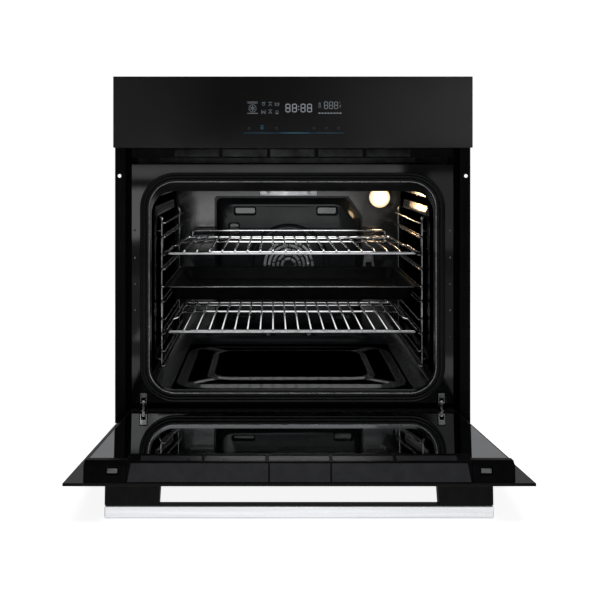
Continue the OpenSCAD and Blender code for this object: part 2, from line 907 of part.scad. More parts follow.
module hinge_claw_right() { hinge_claw(1); }

// Stirrup that locks the hinge when the door is lifted off
module hinge_lever(s) {
    w = 5.5;
    t = 1.5;
    cheek_r = 4.5;
    length = 17;
    top = lever_z + length;
    color("gainsboro") side(s) translate([hinge_x, 0, 0]) {
        for (x = [-w, w - t]) along_x(x, x + t) {
            translate([lever_y, lever_z]) circle(cheek_r);
            translate([lever_y - cheek_r, lever_z]) square([2 * cheek_r, length]);
        }
        slab(-w + t, w - t, lever_y - cheek_r, lever_y - cheek_r + t, lever_z + 9, top);
        slab(-w + t, w - t, lever_y - cheek_r, lever_y + cheek_r, top - t, top);
        rod_x(-w, w, lever_y, lever_z, lever_pin_r);
    }
}

module hinge_lever_left() { hinge_lever(-1); }

module hinge_lever_right() { hinge_lever(1); }

// ---- Shelves ----

// Wire rack; z is the middle of its side rails
module rack(z) {
    rail_x = rack_half - rail_r;
    y1 = rack_y + rack_d - rail_r;
    top = z + rail_r + wire_r - 0.6;
    span = 2 * rail_x - 10;
    count = floor(span / wire_pitch) + 1;
    bar_r = rail_r - 0.2;
    upstand_half = rack_half - 23;
    upstand_h = 16;
    color("lightgray") {
        for (s = [-1, 1]) side(s) {
            rod_y(rack_y, y1 + rail_r, rail_x, z, rail_r);
            rod_z(z, z + upstand_h, upstand_half, y1, 2.1);
        }
        for (y = [rack_y + rail_r, y1]) rod_x(-rail_x, rail_x, y, z, bar_r);
        for (f = [0.63, 0.87]) rod_x(-rail_x, rail_x, rack_y + f * rack_d, z + 0.8, 2.2);
        for (k = [0:count - 1])
            rod_y(rack_y + 1, y1 + 1, (k - (count - 1) / 2) * wire_pitch, top, wire_r);
        rod_x(-upstand_half, upstand_half, y1, z + upstand_h - 2.2, 1.9);
    }
}

module rack_upper() { rack(level(3) + wire_step + rail_lift); }

module rack_lower() { rack(level(1) + rail_lift); }

// Enamelled tray with a flat rim that slides on the upper wires of a level
module baking_tray() {
    rim = 1.6;
    z = level(2) + wire_step + rung_r + 0.3;
    low = z - 26;
    wall = 11;
    y0 = rack_y;
    y1 = rack_y + rack_d - 30;
    half = rack_half;
    color("#17181a") difference() {
        union() {
            slab(-half, half, y0, y1, z, z + rim);
            slab(-half + wall, half - wall, y0 + 4, y1 - 4, low, z + rim);
        }
        slab(-half + wall + rim, half - wall - rim, y0 + 4 + rim, y1 - 4 - rim,
            low + rim, z + 5);
    }
}

// ---- Door ----

module door_outer_glass() {
    color("#1c1c1e") on_door() difference() {
        slab(-half_front, half_front, glass_y, glass_back, door_bottom, door_top);
        for (s = [-1, 1], x = handle_screw_x)
            rod_y(glass_y - 1, glass_back + 1, s * x, screw_z, 2.8);
    }
}

module door_middle_glass() {
    color("#3a4044") on_door()
        slab(-profile_x + slip, profile_x - slip, -9, -5, inner_z + 6, trim_z - 3);
}

module door_inner_glass() {
    color("#101214") on_door()
        slab(-half_door + sheet + slip, half_door - sheet - slip, door_in - glass_t, door_in,
            inner_z, trim_z - slip);
}

module door_profile(s) {
    back = door_in - glass_t;
    z0 = door_bottom + 4;
    color("#2a2c30") on_door() side(s) difference() {
        union() {
            slab(half_door - sheet, half_door, glass_back, door_in - 0.2, z0, trim_z - slip);
            slab(profile_x, half_door - sheet, glass_back, glass_back + sheet, z0,
                trim_z - slip);
            slab(profile_x, half_door - sheet, back - sheet, back, z0, trim_z - slip);
            for (x = [-6.5, 5]) translate([hinge_x, 0, 0])
                slab(x, x + 1.5, glass_back + sheet, back + 2, z0, pivot_z + 12);
        }
        slab(hinge_x - 5, hinge_x + 5, back - 5, back + 5, z0 - 1, pivot_z + 20);
        rod_x(hinge_x - 8, hinge_x + 8, 0, pivot_z, pin_r + run);
    }
}

module door_profile_left() { door_profile(-1); }

module door_profile_right() { door_profile(1); }

// Rail across the bottom of the door, with the cooling air slots
module door_bottom_rail() {
    z0 = door_bottom + 4;
    x = half_door - sheet - slip;
    xi = profile_x - slip;
    y = door_in - 1.6;
    color("#17181a") on_door() difference() {
        union() {
            slab(-x, x, y, door_in - 0.1, z0, inner_z - slip);
            slab(-xi, xi, glass_back + 0.2, y, z0, z0 + 1.6);
        }
        for (s = [-1, 1])
            slab(s * hinge_x - 6.6, s * hinge_x + 6.6, y - 1, door_in + 1, z0 - 1,
                pivot_z + 17);
        for (x = [-160:80:160]) translate([x, glass_back / 2 + y / 2, z0 - 1])
            linear_extrude(4) slot(60, 7);
    }
}

// Vented trim that wraps the upper edge of the door
module door_top_trim() {
    x = half_door - cap_l - slip;
    z1 = door_top - 0.5;
    back = door_in + 1.4;
    wall = 2.5;
    rib = 4;
    pitch = (2 * x - 30) / 5;
    color("#3a3b3f") on_door() difference() {
        along_x(-x, x) polygon([[trim_front, trim_z], [trim_back, trim_z], [back, z1],
            [trim_front, z1]]);
        slab(-x + wall, x - wall, trim_front + wall, door_in - wall, trim_z - 1, z1 - wall);
        for (k = [-2:2])
            slab(k * pitch - pitch / 2 + rib / 2, k * pitch + pitch / 2 - rib / 2,
                door_in - wall - 1, trim_back + 1, trim_z + 3.5, z1 - 4);
        for (g = [[-x + 10, -40], [-36, 38], [42, x - 10]])
            slab(g[0], g[1], trim_front + 2, back - 3, z1 - 0.8, z1 + 1);
    }
}

module door_end_caps() {
    z1 = door_top - 0.5;
    back = door_in + 2.1;
    x0 = half_door - cap_l;
    color("#2c2d31") on_door() for (s = [-1, 1]) side(s) difference() {
        along_x(x0, half_door) polygon([[trim_front, trim_z], [back, trim_z],
            [back, z1 - 9], [back - 5, z1], [trim_front, z1]]);
        slab(x0 + 10, x0 + 26, trim_front + 10, trim_front + 19, z1 - 8, z1 + 1);
        slab(x0 + 2.5, half_door - 2.5, trim_front + 2.5, door_in - 4.5, trim_z - 1, z1 - 10);
    }
}

// Tension spring and rod of each hinge inside the door side
module hinge_springs() {
    z0 = pivot_z + 70;
    turns = 26;
    pitch = 6;
    coil = [4.5, 6];
    color("gray") on_door() for (s = [-1, 1]) translate([s * hinge_x, -8, 0]) {
        translate([0, 0, z0]) rotate_extrude() polygon(concat([[0, 0]],
            [for (k = [0:turns - 1], j = [0, 1]) [coil[j], (k + (j + 0.5) / 2) * pitch]],
            [[0, turns * pitch]]));
        rod_z(pivot_z + 24, z0 + turns * pitch + 30, 0, 0, 2.5);
        slab(-4, 4, -4, 4, pivot_z + 22, pivot_z + 30);
        slab(-8, 8, -5, 5, z0 + turns * pitch + 26, z0 + turns * pitch + 30);
    }
}

module handle_bar() {
    color("gainsboro") on_door() intersection() {
        along_x(-handle_l / 2, handle_l / 2)
            round_rect(bar_y, bar_y + handle_d, bar_z, bar_z + handle_h, 2.5);
        along_y(bar_y - 1, bar_y + handle_d + 1)
            round_rect(-handle_l / 2, handle_l / 2, bar_z, bar_z + handle_h, 2.5);
        translate([0, 0, bar_z - 1]) linear_extrude(handle_h + 2)
            round_rect(-handle_l / 2, handle_l / 2, bar_y, bar_y + handle_d, 3.5);
    }
}

module handle_standoffs() {
    x1 = handle_l / 2;
    x0 = x1 - standoff_l;
    y0 = bar_y + handle_d;
    color("#141414") on_door() for (s = [-1, 1]) side(s) difference() {
        translate([0, 0, bar_z + 0.5]) linear_extrude(handle_h - 1)
            polygon([[x0 - 1.5, glass_y], [x1 - 0.4, glass_y], [x1 - 0.4, y0], [x0, y0]]);
        for (x = handle_screw_x)
            rod_y(glass_y - handle_screw_l - 2, glass_y + 1, x, screw_z, handle_screw_r + 0.1);
    }
}

module handle_screws() {
    color("silver") on_door() for (s = [-1, 1], x = handle_screw_x) {
        rod_y(glass_y - handle_screw_l, glass_back, s * x, screw_z, handle_screw_r);
        rod_y(glass_back, glass_back + 3, s * x, screw_z, 4.5);
    }
}

base_plate();
side_panel_left();
side_panel_right();
top_cover();
rear_panel();
mounting_flange_left();
mounting_flange_right();
front_frame();
cavity_wrap();
cavity_rear_wall();
door_gasket();
fan_cover();
fan_cover_screws();
ladder_left();
ladder_right();
grill_element();
bottom_element();
ring_element();
insulation();
fan_motor();
motor_bracket();
lamp_holder();
lamp_bulb();
lamp_glass();
temperature_probe();
air_deck();
upper_deck();
blower_housing();
blower_motor();
power_board();
display_board();
display_module();
control_panel_glass();
panel_carrier();
vent_grille();
terminal_block();
cable_gland();
hinge_receivers();
hinge_claw_left();
hinge_claw_right();
case_screws();
convection_impeller();
blower_impeller();
hinge_lever_left();
hinge_lever_right();
rack_upper();
rack_lower();
baking_tray();
door_outer_glass();
door_middle_glass();
door_inner_glass();
door_profile_left();
door_profile_right();
door_bottom_rail();
door_top_trim();
door_end_caps();
hinge_springs();
handle_bar();
handle_standoffs();
handle_screws();
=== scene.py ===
"""Built-in wall oven with its door open: the looks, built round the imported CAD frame."""

import json
import math

import bmesh
import bpy
from mathutils import Matrix, Vector


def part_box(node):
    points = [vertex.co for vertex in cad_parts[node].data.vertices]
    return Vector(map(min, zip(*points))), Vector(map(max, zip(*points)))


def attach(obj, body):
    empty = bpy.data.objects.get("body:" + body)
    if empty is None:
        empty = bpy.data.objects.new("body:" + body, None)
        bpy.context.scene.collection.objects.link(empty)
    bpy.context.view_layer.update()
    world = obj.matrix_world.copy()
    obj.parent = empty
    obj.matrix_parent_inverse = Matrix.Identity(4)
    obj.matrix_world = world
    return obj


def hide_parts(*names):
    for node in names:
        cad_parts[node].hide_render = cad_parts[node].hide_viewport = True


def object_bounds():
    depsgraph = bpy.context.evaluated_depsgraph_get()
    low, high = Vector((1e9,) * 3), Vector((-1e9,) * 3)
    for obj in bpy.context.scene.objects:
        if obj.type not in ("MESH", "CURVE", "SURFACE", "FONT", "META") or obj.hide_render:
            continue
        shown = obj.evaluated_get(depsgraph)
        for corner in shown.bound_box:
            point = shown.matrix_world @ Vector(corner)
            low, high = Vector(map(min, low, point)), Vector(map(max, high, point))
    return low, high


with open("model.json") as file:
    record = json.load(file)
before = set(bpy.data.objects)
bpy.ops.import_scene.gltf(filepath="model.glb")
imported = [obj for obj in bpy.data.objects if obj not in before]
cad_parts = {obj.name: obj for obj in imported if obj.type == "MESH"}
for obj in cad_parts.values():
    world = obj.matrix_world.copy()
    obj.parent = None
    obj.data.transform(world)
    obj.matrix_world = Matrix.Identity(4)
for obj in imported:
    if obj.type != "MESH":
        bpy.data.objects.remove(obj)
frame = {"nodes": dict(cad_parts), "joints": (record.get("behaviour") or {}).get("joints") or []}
cad_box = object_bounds()

MM = 0.001
bpy.context.scene.view_settings.view_transform = "Standard"


# ---- Materials ----

def node(tree, kind, **inputs):
    """A shader node with some of its inputs set by name."""
    made = tree.nodes.new(kind)
    for key, value in inputs.items():
        made.inputs[key.replace("_", " ")].default_value = value
    return made


def noise(tree, vector, scale, detail):
    made = node(tree, "ShaderNodeTexNoise", Scale=scale, Detail=detail)
    tree.links.new(vector, made.inputs["Vector"])
    return made.outputs["Fac"]


def spread(tree, value, low, high, lowest=0.3, highest=0.7):
    """Maps a noise value from its usual range to low..high."""
    made = node(tree, "ShaderNodeMapRange")
    tree.links.new(value, made.inputs["Value"])
    made.inputs["From Min"].default_value = lowest
    made.inputs["From Max"].default_value = highest
    made.inputs["To Min"].default_value = low
    made.inputs["To Max"].default_value = high
    return made.outputs["Result"]


def past(tree, place, colour, axis, start, other):
    """Turns a colour into another one where the place along an axis is past a start."""
    split = tree.nodes.new("ShaderNodeSeparateXYZ")
    tree.links.new(place, split.inputs["Vector"])
    mix = tree.nodes.new("ShaderNodeMix")
    mix.data_type = "RGBA"
    far = spread(tree, split.outputs[axis], 0, 1, start, start + 0.5 * MM)
    tree.links.new(far, mix.inputs["Factor"])
    mix.inputs["A"].default_value = (*other, 1)
    tree.links.new(colour, mix.inputs["B"])
    return mix.outputs["Result"]


def finish(name, dark, light, rough, cloud=30, grain=900, bump=0.0, depth=0.0002,
           stretch=(1, 1, 1), edge_wear_and_highlight=0.0, painted=None, **constant):
    """A finish with clouds in its colour, varied roughness, a fine grain and lighter edges, partly
    wear and partly a painted highlight.

    painted is (axis, start, colour): before the start the surface has that other colour."""
    material = bpy.data.materials.new(name)
    material.use_nodes = True
    tree = material.node_tree
    shader = tree.nodes["Principled BSDF"]
    for key, value in constant.items():
        shader.inputs[key.replace("_", " ")].default_value = value
    origin = tree.nodes.new("ShaderNodeTexCoord").outputs["Object"]
    mapping = node(tree, "ShaderNodeMapping", Scale=stretch)
    tree.links.new(origin, mapping.inputs["Vector"])
    place = mapping.outputs["Vector"]
    ramp = tree.nodes.new("ShaderNodeValToRGB")
    ramp.color_ramp.elements[0].position = 0.32
    ramp.color_ramp.elements[0].color = (*dark, 1)
    ramp.color_ramp.elements[1].position = 0.68
    ramp.color_ramp.elements[1].color = (*light, 1)
    tree.links.new(noise(tree, place, cloud, 6), ramp.inputs["Fac"])
    colour = ramp.outputs["Color"]
    # Convex edges get a lighter colour: partly wear, partly a painted highlight along the edges
    if edge_wear_and_highlight:
        edges = tree.nodes.new("ShaderNodeNewGeometry").outputs["Pointiness"]
        mix = tree.nodes.new("ShaderNodeMix")
        mix.data_type = "RGBA"
        tree.links.new(spread(tree, edges, 0, edge_wear_and_highlight, 0.52, 0.6), mix.inputs["Factor"])
        tree.links.new(colour, mix.inputs["A"])
        mix.inputs["B"].default_value = (*[min(1, 4 * c + 0.05) for c in light], 1)
        colour = mix.outputs["Result"]
    if painted:
        axis, start, other = painted
        colour = past(tree, origin, colour, axis, start, other)
    tree.links.new(colour, shader.inputs["Base Color"])
    smudge = noise(tree, place, cloud * 0.7 + 3, 4)
    tree.links.new(spread(tree, smudge, *rough), shader.inputs["Roughness"])
    if bump:
        relief = node(tree, "ShaderNodeBump", Strength=bump, Distance=depth)
        tree.links.new(noise(tree, place, grain, 3), relief.inputs["Height"])
        tree.links.new(relief.outputs["Normal"], shader.inputs["Normal"])
    return material


def glowing(name, colour, strength, grain, spots):
    """A lit surface whose light is uneven."""
    material = finish(name, colour, colour, (0.2, 0.4), cloud=grain, bump=0.2)
    tree = material.node_tree
    shader = tree.nodes["Principled BSDF"]
    shader.inputs["Emission Strength"].default_value = strength
    ramp = tree.nodes.new("ShaderNodeValToRGB")
    ramp.color_ramp.elements[0].color = (*spots, 1)
    ramp.color_ramp.elements[0].position = 0.3
    ramp.color_ramp.elements[1].color = (*colour, 1)
    ramp.color_ramp.elements[1].position = 0.6
    place = tree.nodes.new("ShaderNodeTexCoord").outputs["Object"]
    tree.links.new(noise(tree, place, grain, 5), ramp.inputs["Fac"])
    tree.links.new(ramp.outputs["Color"], shader.inputs["Emission Color"])
    return material


BLACK = (0.002, 0.002, 0.0025)
# By the name of the material slot that each one fills
FINISHES = {made.name.split(".")[0]: made for made in (
    finish("front_glass", (0.003, 0.003, 0.0035), (0.005, 0.005, 0.0055),
           (0.1, 0.16), cloud=9, bump=0.02, grain=60, Specular_IOR_Level=0.45),
    finish("inner_glass", (0.5, 0.52, 0.54), (0.64, 0.66, 0.69),
           (0.015, 0.04), cloud=7, bump=0.01, grain=40, Metallic=1.0),
    finish("enamel", (0.003, 0.0032, 0.0035), (0.006, 0.0065, 0.007), (0.06, 0.13),
           cloud=60, grain=420, bump=0.08, IOR=1.6),
    # The fan cover's enamel is lighter than the rest: painted sheen, standing in for the light that
    # its face reflects
    finish("cover_enamel", (0.007, 0.0082, 0.009), (0.012, 0.0135, 0.0145),
           (0.08, 0.15), cloud=26, grain=420, bump=0.05,
           Specular_IOR_Level=0.14),
    # Its edges are made lighter: partly wear, partly a painted highlight
    finish("flange_paint", (0.0012, 0.0012, 0.0015), (0.003, 0.003, 0.0032),
           (0.2, 0.32), cloud=50, grain=1400, bump=0.12, edge_wear_and_highlight=0.12,
           Specular_IOR_Level=0.04),
    finish("zinc_sheet", (0.4, 0.41, 0.42), (0.54, 0.55, 0.56), (0.3, 0.46),
           cloud=60, grain=700, bump=0.05, Metallic=1.0),
    finish("chrome_wire", (0.6, 0.6, 0.61), (0.76, 0.76, 0.77), (0.08, 0.2),
           cloud=90, bump=0.05, Metallic=1.0),
    finish("hinge_steel", (0.22, 0.22, 0.22), (0.42, 0.42, 0.42), (0.14, 0.3),
           cloud=120, grain=700, bump=0.1, stretch=(1, 1, 0.2), Metallic=1.0),
    finish("screw_steel", (0.1, 0.1, 0.11), (0.24, 0.24, 0.25), (0.25, 0.4),
           cloud=300, grain=1500, bump=0.1, Metallic=1.0),
    finish("handle_metal", (0.74, 0.75, 0.77), (0.88, 0.89, 0.91), (0.24, 0.34),
           cloud=220, grain=2600, bump=0.1, stretch=(0.02, 1, 1), Metallic=1.0),
    # Its edges are made lighter: partly wear, partly a painted highlight
    finish("black_plastic", (0.002, 0.002, 0.0025), (0.005, 0.005, 0.0055),
           (0.2, 0.3), cloud=80, grain=2200, bump=0.12, edge_wear_and_highlight=0.1,
           IOR=1.13),
    finish("trim_plastic", (0.016, 0.0165, 0.019), (0.023, 0.0235, 0.027),
           (0.26, 0.36), cloud=70, grain=2400, bump=0.12,
           Specular_IOR_Level=0.12),
    finish("seal_rubber", (0.002, 0.0022, 0.0024), (0.0045, 0.005, 0.0054),
           (0.3, 0.45), cloud=120, grain=1500, bump=0.2,
           Specular_IOR_Level=0.25),
    finish("element_sheath", (0.05, 0.052, 0.055), (0.12, 0.115, 0.11),
           (0.35, 0.55), cloud=70, bump=0.2, Metallic=0.7),
    finish("wool", (0.5, 0.45, 0.3), (0.78, 0.72, 0.55), (0.85, 1.0), cloud=90,
           grain=500, bump=0.9, depth=0.002, stretch=(1, 0.3, 1)),
    finish("motor_iron", (0.12, 0.12, 0.13), (0.24, 0.24, 0.25), (0.35, 0.55),
           cloud=80, bump=0.15, stretch=(1, 6, 1), Metallic=0.8),
    finish("fan_metal", (0.4, 0.41, 0.42), (0.55, 0.56, 0.57), (0.25, 0.4),
           cloud=60, bump=0.1, Metallic=1.0),
    finish("lamp_ceramic", (0.72, 0.7, 0.64), (0.85, 0.83, 0.78), (0.6, 0.8),
           cloud=120, bump=0.2),
    glowing("lamp_glow", (1.0, 0.82, 0.56), 0.92, 260, (0.9, 0.5, 0.2)),
    finish("board", (0.03, 0.12, 0.06), (0.05, 0.2, 0.1), (0.25, 0.4), cloud=200,
           grain=1200, bump=0.2),
    finish("display", (0.004, 0.004, 0.005), (0.007, 0.007, 0.009), (0.08, 0.16),
           cloud=12, bump=0.02, grain=60),
)}
PRINT = glowing("display_print", (0.3, 0.33, 0.36), 0.3, 500, (0.2, 0.23, 0.25))
DIM_PRINT = glowing("display_dim_print", (0.2, 0.22, 0.24), 0.18, 500, (0.12, 0.14, 0.16))
FAINT_PRINT = glowing("touch_print", (0.04, 0.045, 0.05), 0.25, 500, (0.025, 0.03, 0.035))
BLUE_PRINT = glowing("blue_print", (0.02, 0.12, 0.19), 0.4, 500, (0.015, 0.08, 0.14))
# Finishes of single nodes that differ from the rest of their slot
FRAME_PAINT = finish("frame_paint", (0.0015, 0.0017, 0.002), (0.003, 0.0033, 0.0036),
                     (0.03, 0.06), cloud=24, bump=0.03, Specular_IOR_Level=0.4)
DOOR_GLASS = finish("door_glass", (0.002, 0.002, 0.0025), (0.004, 0.004, 0.0045), (0.12, 0.2),
                    cloud=9, grain=60, bump=0.02, IOR=1.2)
# A lighter copy of the cavity enamel for the rear wall: painted sheen, standing in for the light
# that the wall reflects
REAR_ENAMEL_PAINTED_SHEEN = finish("rear_enamel_painted_sheen", (0.008, 0.009, 0.0105), (0.014, 0.016, 0.018),
                     (0.08, 0.15), cloud=30, grain=420, bump=0.05, IOR=1.6)
TRAY_ENAMEL = finish("tray_enamel", (0.002, 0.0021, 0.0023), (0.004, 0.0042, 0.0045),
                     (0.3, 0.45), cloud=60, grain=420, bump=0.08, IOR=1.06)
# Enamel with painted light on the floor of the cavity: below 75 mm it turns lighter grey, standing
# in for light falling on the floor
LINER_ENAMEL_PAINTED_FLOOR_LIGHT = finish("liner_enamel_painted_floor_light", (0.003, 0.0032, 0.0035), (0.006, 0.0065, 0.007),
                      (0.06, 0.13), cloud=60, grain=420, bump=0.08,
                      painted=("Z", 75 * MM, (0.075, 0.078, 0.08)), IOR=1.6)
# A darker copy of the chrome wire for the ladders: painted shade for the dark surroundings that
# they mirror
LADDER_WIRE_PAINTED_SHADE = finish("ladder_wire_painted_shade", (0.12, 0.12, 0.12), (0.26, 0.26, 0.26), (0.12, 0.26),
                     cloud=90, bump=0.05, Metallic=1.0)
# Grey metal for the thin beads at the mouth of the cavity and on the tray's rim: a painted
# highlight line along these enamel edges
EDGE_BEAD_HIGHLIGHT = finish("mouth_edge_highlight", (0.2, 0.2, 0.21), (0.36, 0.36, 0.37), (0.2, 0.35), cloud=60,
                    grain=700, bump=0.1, Metallic=0.9)
TRIM_BODY = finish("trim_body", (0.0015, 0.0015, 0.002), (0.0035, 0.0035, 0.004), (0.22, 0.32),
                   cloud=70, grain=2400, bump=0.12, IOR=1.08)
TAG_GREY = finish("tag_grey", (0.13, 0.135, 0.14), (0.22, 0.225, 0.23), (0.25, 0.4), cloud=90,
                  bump=0.1, Metallic=0.3)
CLIP_GREY = finish("clip_grey", (0.1, 0.105, 0.11), (0.17, 0.175, 0.18), (0.3, 0.45), cloud=90,
                   bump=0.1, Metallic=0.2)
# Nearly black steel for the air duct and hinge receivers: painted shade inside the body, where the
# real sheet is zinc
INNER_STEEL_PAINTED_SHADE = finish("inner_steel_painted_shade", (0.003, 0.003, 0.0035), (0.008, 0.008, 0.0085), (0.4, 0.55),
                    cloud=60, grain=700, bump=0.08, Metallic=0.6)
# Sheet metal that is painted black near the front
CASE_SHEET = finish("case_sheet", (0.4, 0.41, 0.42), (0.54, 0.55, 0.56), (0.3, 0.46), cloud=60,
                    grain=700, bump=0.05, painted=("Y", 60 * MM, BLACK), Metallic=1.0)

OWN_FINISH = {"front_frame": FRAME_PAINT, "door_outer_glass": DOOR_GLASS,
              "cavity_rear_wall": REAR_ENAMEL_PAINTED_SHEEN, "side_panel_left": CASE_SHEET,
              "side_panel_right": CASE_SHEET, "base_plate": CASE_SHEET,
              "hinge_receivers": INNER_STEEL_PAINTED_SHADE, "air_deck": INNER_STEEL_PAINTED_SHADE, "upper_deck": INNER_STEEL_PAINTED_SHADE,
              "blower_housing": INNER_STEEL_PAINTED_SHADE, "blower_impeller": INNER_STEEL_PAINTED_SHADE,
              "door_top_trim": TRIM_BODY, "door_end_caps": TRIM_BODY}
for name, cad_node in frame["nodes"].items():
    for place in cad_node.material_slots:
        slot_name = place.material.name.split(".")[0]
        place.material = OWN_FINISH.get(name) or FINISHES[slot_name]


# ---- Mesh helpers ----

WELD_DISTANCE = 0.01 * MM
HARD_EDGE = math.radians(40)


def piece(name, bm, body, slot, material=None, sharp=35):
    """Turns a bmesh into a piece that rides on a body and takes a slot's finish."""
    bmesh.ops.recalc_face_normals(bm, faces=bm.faces)
    mesh = bpy.data.meshes.new(name)
    bm.to_mesh(mesh)
    bm.free()
    mesh.polygons.foreach_set("use_smooth", [True] * len(mesh.polygons))
    mesh.set_sharp_from_angle(angle=math.radians(sharp))
    mesh.materials.append(material or FINISHES[slot])
    made = bpy.data.objects.new(name, mesh)
    bpy.context.scene.collection.objects.link(made)
    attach(made, body)
    return made


def loft(bm, rings, wrap=False, caps=False):
    """Joins closed rings of equally many points. wrap joins the last ring to the first."""
    loops = [[bm.verts.new(p) for p in ring] for ring in rings]
    pairs = list(zip(loops, loops[1:]))
    if wrap:
        pairs.append((loops[-1], loops[0]))
    for a, b in pairs:
        for i in range(len(a)):
            j = (i + 1) % len(a)
            bm.faces.new((a[i], a[j], b[j], b[i]))
    if caps:
        bm.faces.new(reversed(loops[0]))
        bm.faces.new(loops[-1])


def rounded(points, radius, steps=5, closed=False):
    """A path with its corners rounded."""
    points = [Vector(p) for p in points]
    count = len(points)
    out = []
    for i, p in enumerate(points):
        if not closed and i in (0, count - 1):
            out.append(p)
            continue
        before = points[i - 1] - p
        after = points[(i + 1) % count] - p
        cut = min(radius, before.length * 0.48, after.length * 0.48)
        a = p + before.normalized() * cut
        b = p + after.normalized() * cut
        for k in range(steps + 1):
            t = k / steps
            out.append(a * (1 - t) ** 2 + p * 2 * t * (1 - t) + b * t * t)
    return out


def tube(bm, path, radius, sides=10, closed=False):
    """A round wire along a path, with domed ends where it is open."""
    path = [Vector(p) for p in path]
    count = len(path)
    rings = []
    side = None
    for i, p in enumerate(path):
        a = path[i - 1] if closed or i else p
        b = path[(i + 1) % count] if closed or i < count - 1 else p
        along = (b - a).normalized()
        if side is None:
            side = along.orthogonal()
        side = (side - along * side.dot(along)).normalized()
        up = along.cross(side)
        for r, shift in end_shape(i, count, closed):
            centre = p + along * shift * radius
            rings.append([centre + (side * math.cos(t) + up * math.sin(t)) * radius * r
                          for t in [2 * math.pi * k / sides for k in range(sides)]])
    loft(bm, rings, wrap=closed, caps=not closed)


def end_shape(i, count, closed):
    """Scale and shift of the rings that a wire has at one point of its path."""
    if not closed and i == 0:
        return [(0.45, -0.5), (0.85, -0.3), (1, 0)]
    if not closed and i == count - 1:
        return [(1, 0), (0.85, 0.3), (0.45, 0.5)]
    return [(1, 0)]


def round_rect(x0, x1, z0, z1, radius, steps=8):
    """Outline of a rectangle with round corners, as (x, z)."""
    out = []
    corners = [(x1 - radius, z0 + radius, -90), (x1 - radius, z1 - radius, 0),
               (x0 + radius, z1 - radius, 90), (x0 + radius, z0 + radius, 180)]
    for cx, cz, start in corners:
        for k in range(steps + 1):
            t = math.radians(start + 90 * k / steps)
            out.append((cx + radius * math.cos(t), cz + radius * math.sin(t)))
    return out


def revolve(bm, profile, centre, steps=48, closed=False):
    """Turns a profile of (radius, distance along Y) about the line along Y through centre."""
    rings = []
    for k in range(steps):
        t = 2 * math.pi * k / steps
        rings.append([Vector((r * math.cos(t), d, r * math.sin(t))) + Vector(centre)
                      for r, d in profile])
    loops = [[bm.verts.new(p) for p in ring] for ring in rings]
    last = len(profile) if closed else len(profile) - 1
    for i in range(steps):
        a, b = loops[i], loops[(i + 1) % steps]
        for j in range(last):
            k = (j + 1) % len(profile)
            bm.faces.new((a[j], a[k], b[k], b[j]))
    bmesh.ops.remove_doubles(bm, verts=bm.verts, dist=WELD_DISTANCE / 10)


def block(bm, low, high, edge=0.0):
    """A box between two corners, with its edges bevelled."""
    low, high = Vector(low), Vector(high)
    made = bmesh.ops.create_cube(bm, size=1)
    size = high - low
    bmesh.ops.scale(bm, vec=size, verts=made["verts"])
    bmesh.ops.translate(bm, vec=(low + high) / 2, verts=made["verts"])
    if edge:
        edges = list({e for v in made["verts"] for e in v.link_edges})
        bmesh.ops.bevel(bm, geom=edges, offset=edge, segments=2, affect="EDGES", profile=0.6)


def soften(name, width):
    """Bevels the hard edges of a CAD node for the light to catch."""
    made = frame["nodes"][name]
    weld = made.modifiers.new("weld", "WELD")
    weld.merge_threshold = WELD_DISTANCE
    bevel = made.modifiers.new("edges", "BEVEL")
    bevel.width = width
    bevel.segments = 2
    bevel.limit_method = "ANGLE"
    bevel.angle_limit = HARD_EDGE
    bevel.harden_normals = True


def apply_modifiers(made, sharp):
    """Replaces a piece's mesh by what its modifiers make of it."""
    graph = bpy.context.evaluated_depsgraph_get()
    mesh = bpy.data.meshes.new_from_object(made.evaluated_get(graph))
    mesh.polygons.foreach_set("use_smooth", [True] * len(mesh.polygons))
    mesh.set_sharp_from_angle(angle=math.radians(sharp))
    made.modifiers.clear()
    made.data = mesh


def cut_out(made, cutters, sharp):
    """Cuts the closed shapes in a bmesh out of a piece."""
    bmesh.ops.recalc_face_normals(cutters, faces=cutters.faces)
    tool_mesh = bpy.data.meshes.new("cutters")
    cutters.to_mesh(tool_mesh)
    cutters.free()
    tool = bpy.data.objects.new("cutters", tool_mesh)
    bpy.context.scene.collection.objects.link(tool)
    cut = made.modifiers.new("openings", "BOOLEAN")
    cut.operation = "DIFFERENCE"
    cut.solver = "EXACT"
    cut.object = tool
    apply_modifiers(made, sharp)
    bpy.data.objects.remove(tool)


# ---- Door frame of reference ----

hinge = next(j for j in frame["joints"] if j["name"] == "door_hinge")
PIVOT = Vector(hinge["pos_m"])
OPEN = (Matrix.Translation(PIVOT) @ Matrix.Rotation(math.radians(max(hinge["range_deg"])), 4, "X")
        @ Matrix.Translation(-PIVOT))


def closed_box(name):
    """Corners of a door node in the place that it has when the door is closed."""
    back = OPEN.inverted()
    points = [back @ v.co for v in frame["nodes"][name].data.vertices]
    low = Vector([min(p[i] for p in points) for i in range(3)])
    high = Vector([max(p[i] for p in points) for i in range(3)])
    return low, high


def on_door(bm):
    """Moves what was drawn on the closed door to the open door."""
    bmesh.ops.transform(bm, matrix=OPEN, verts=bm.verts)


# ---- Wire racks ----

RAIL_R = 3.0 * MM
SURFACE_R = 1.8 * MM
RACK_PITCH = 22 * MM


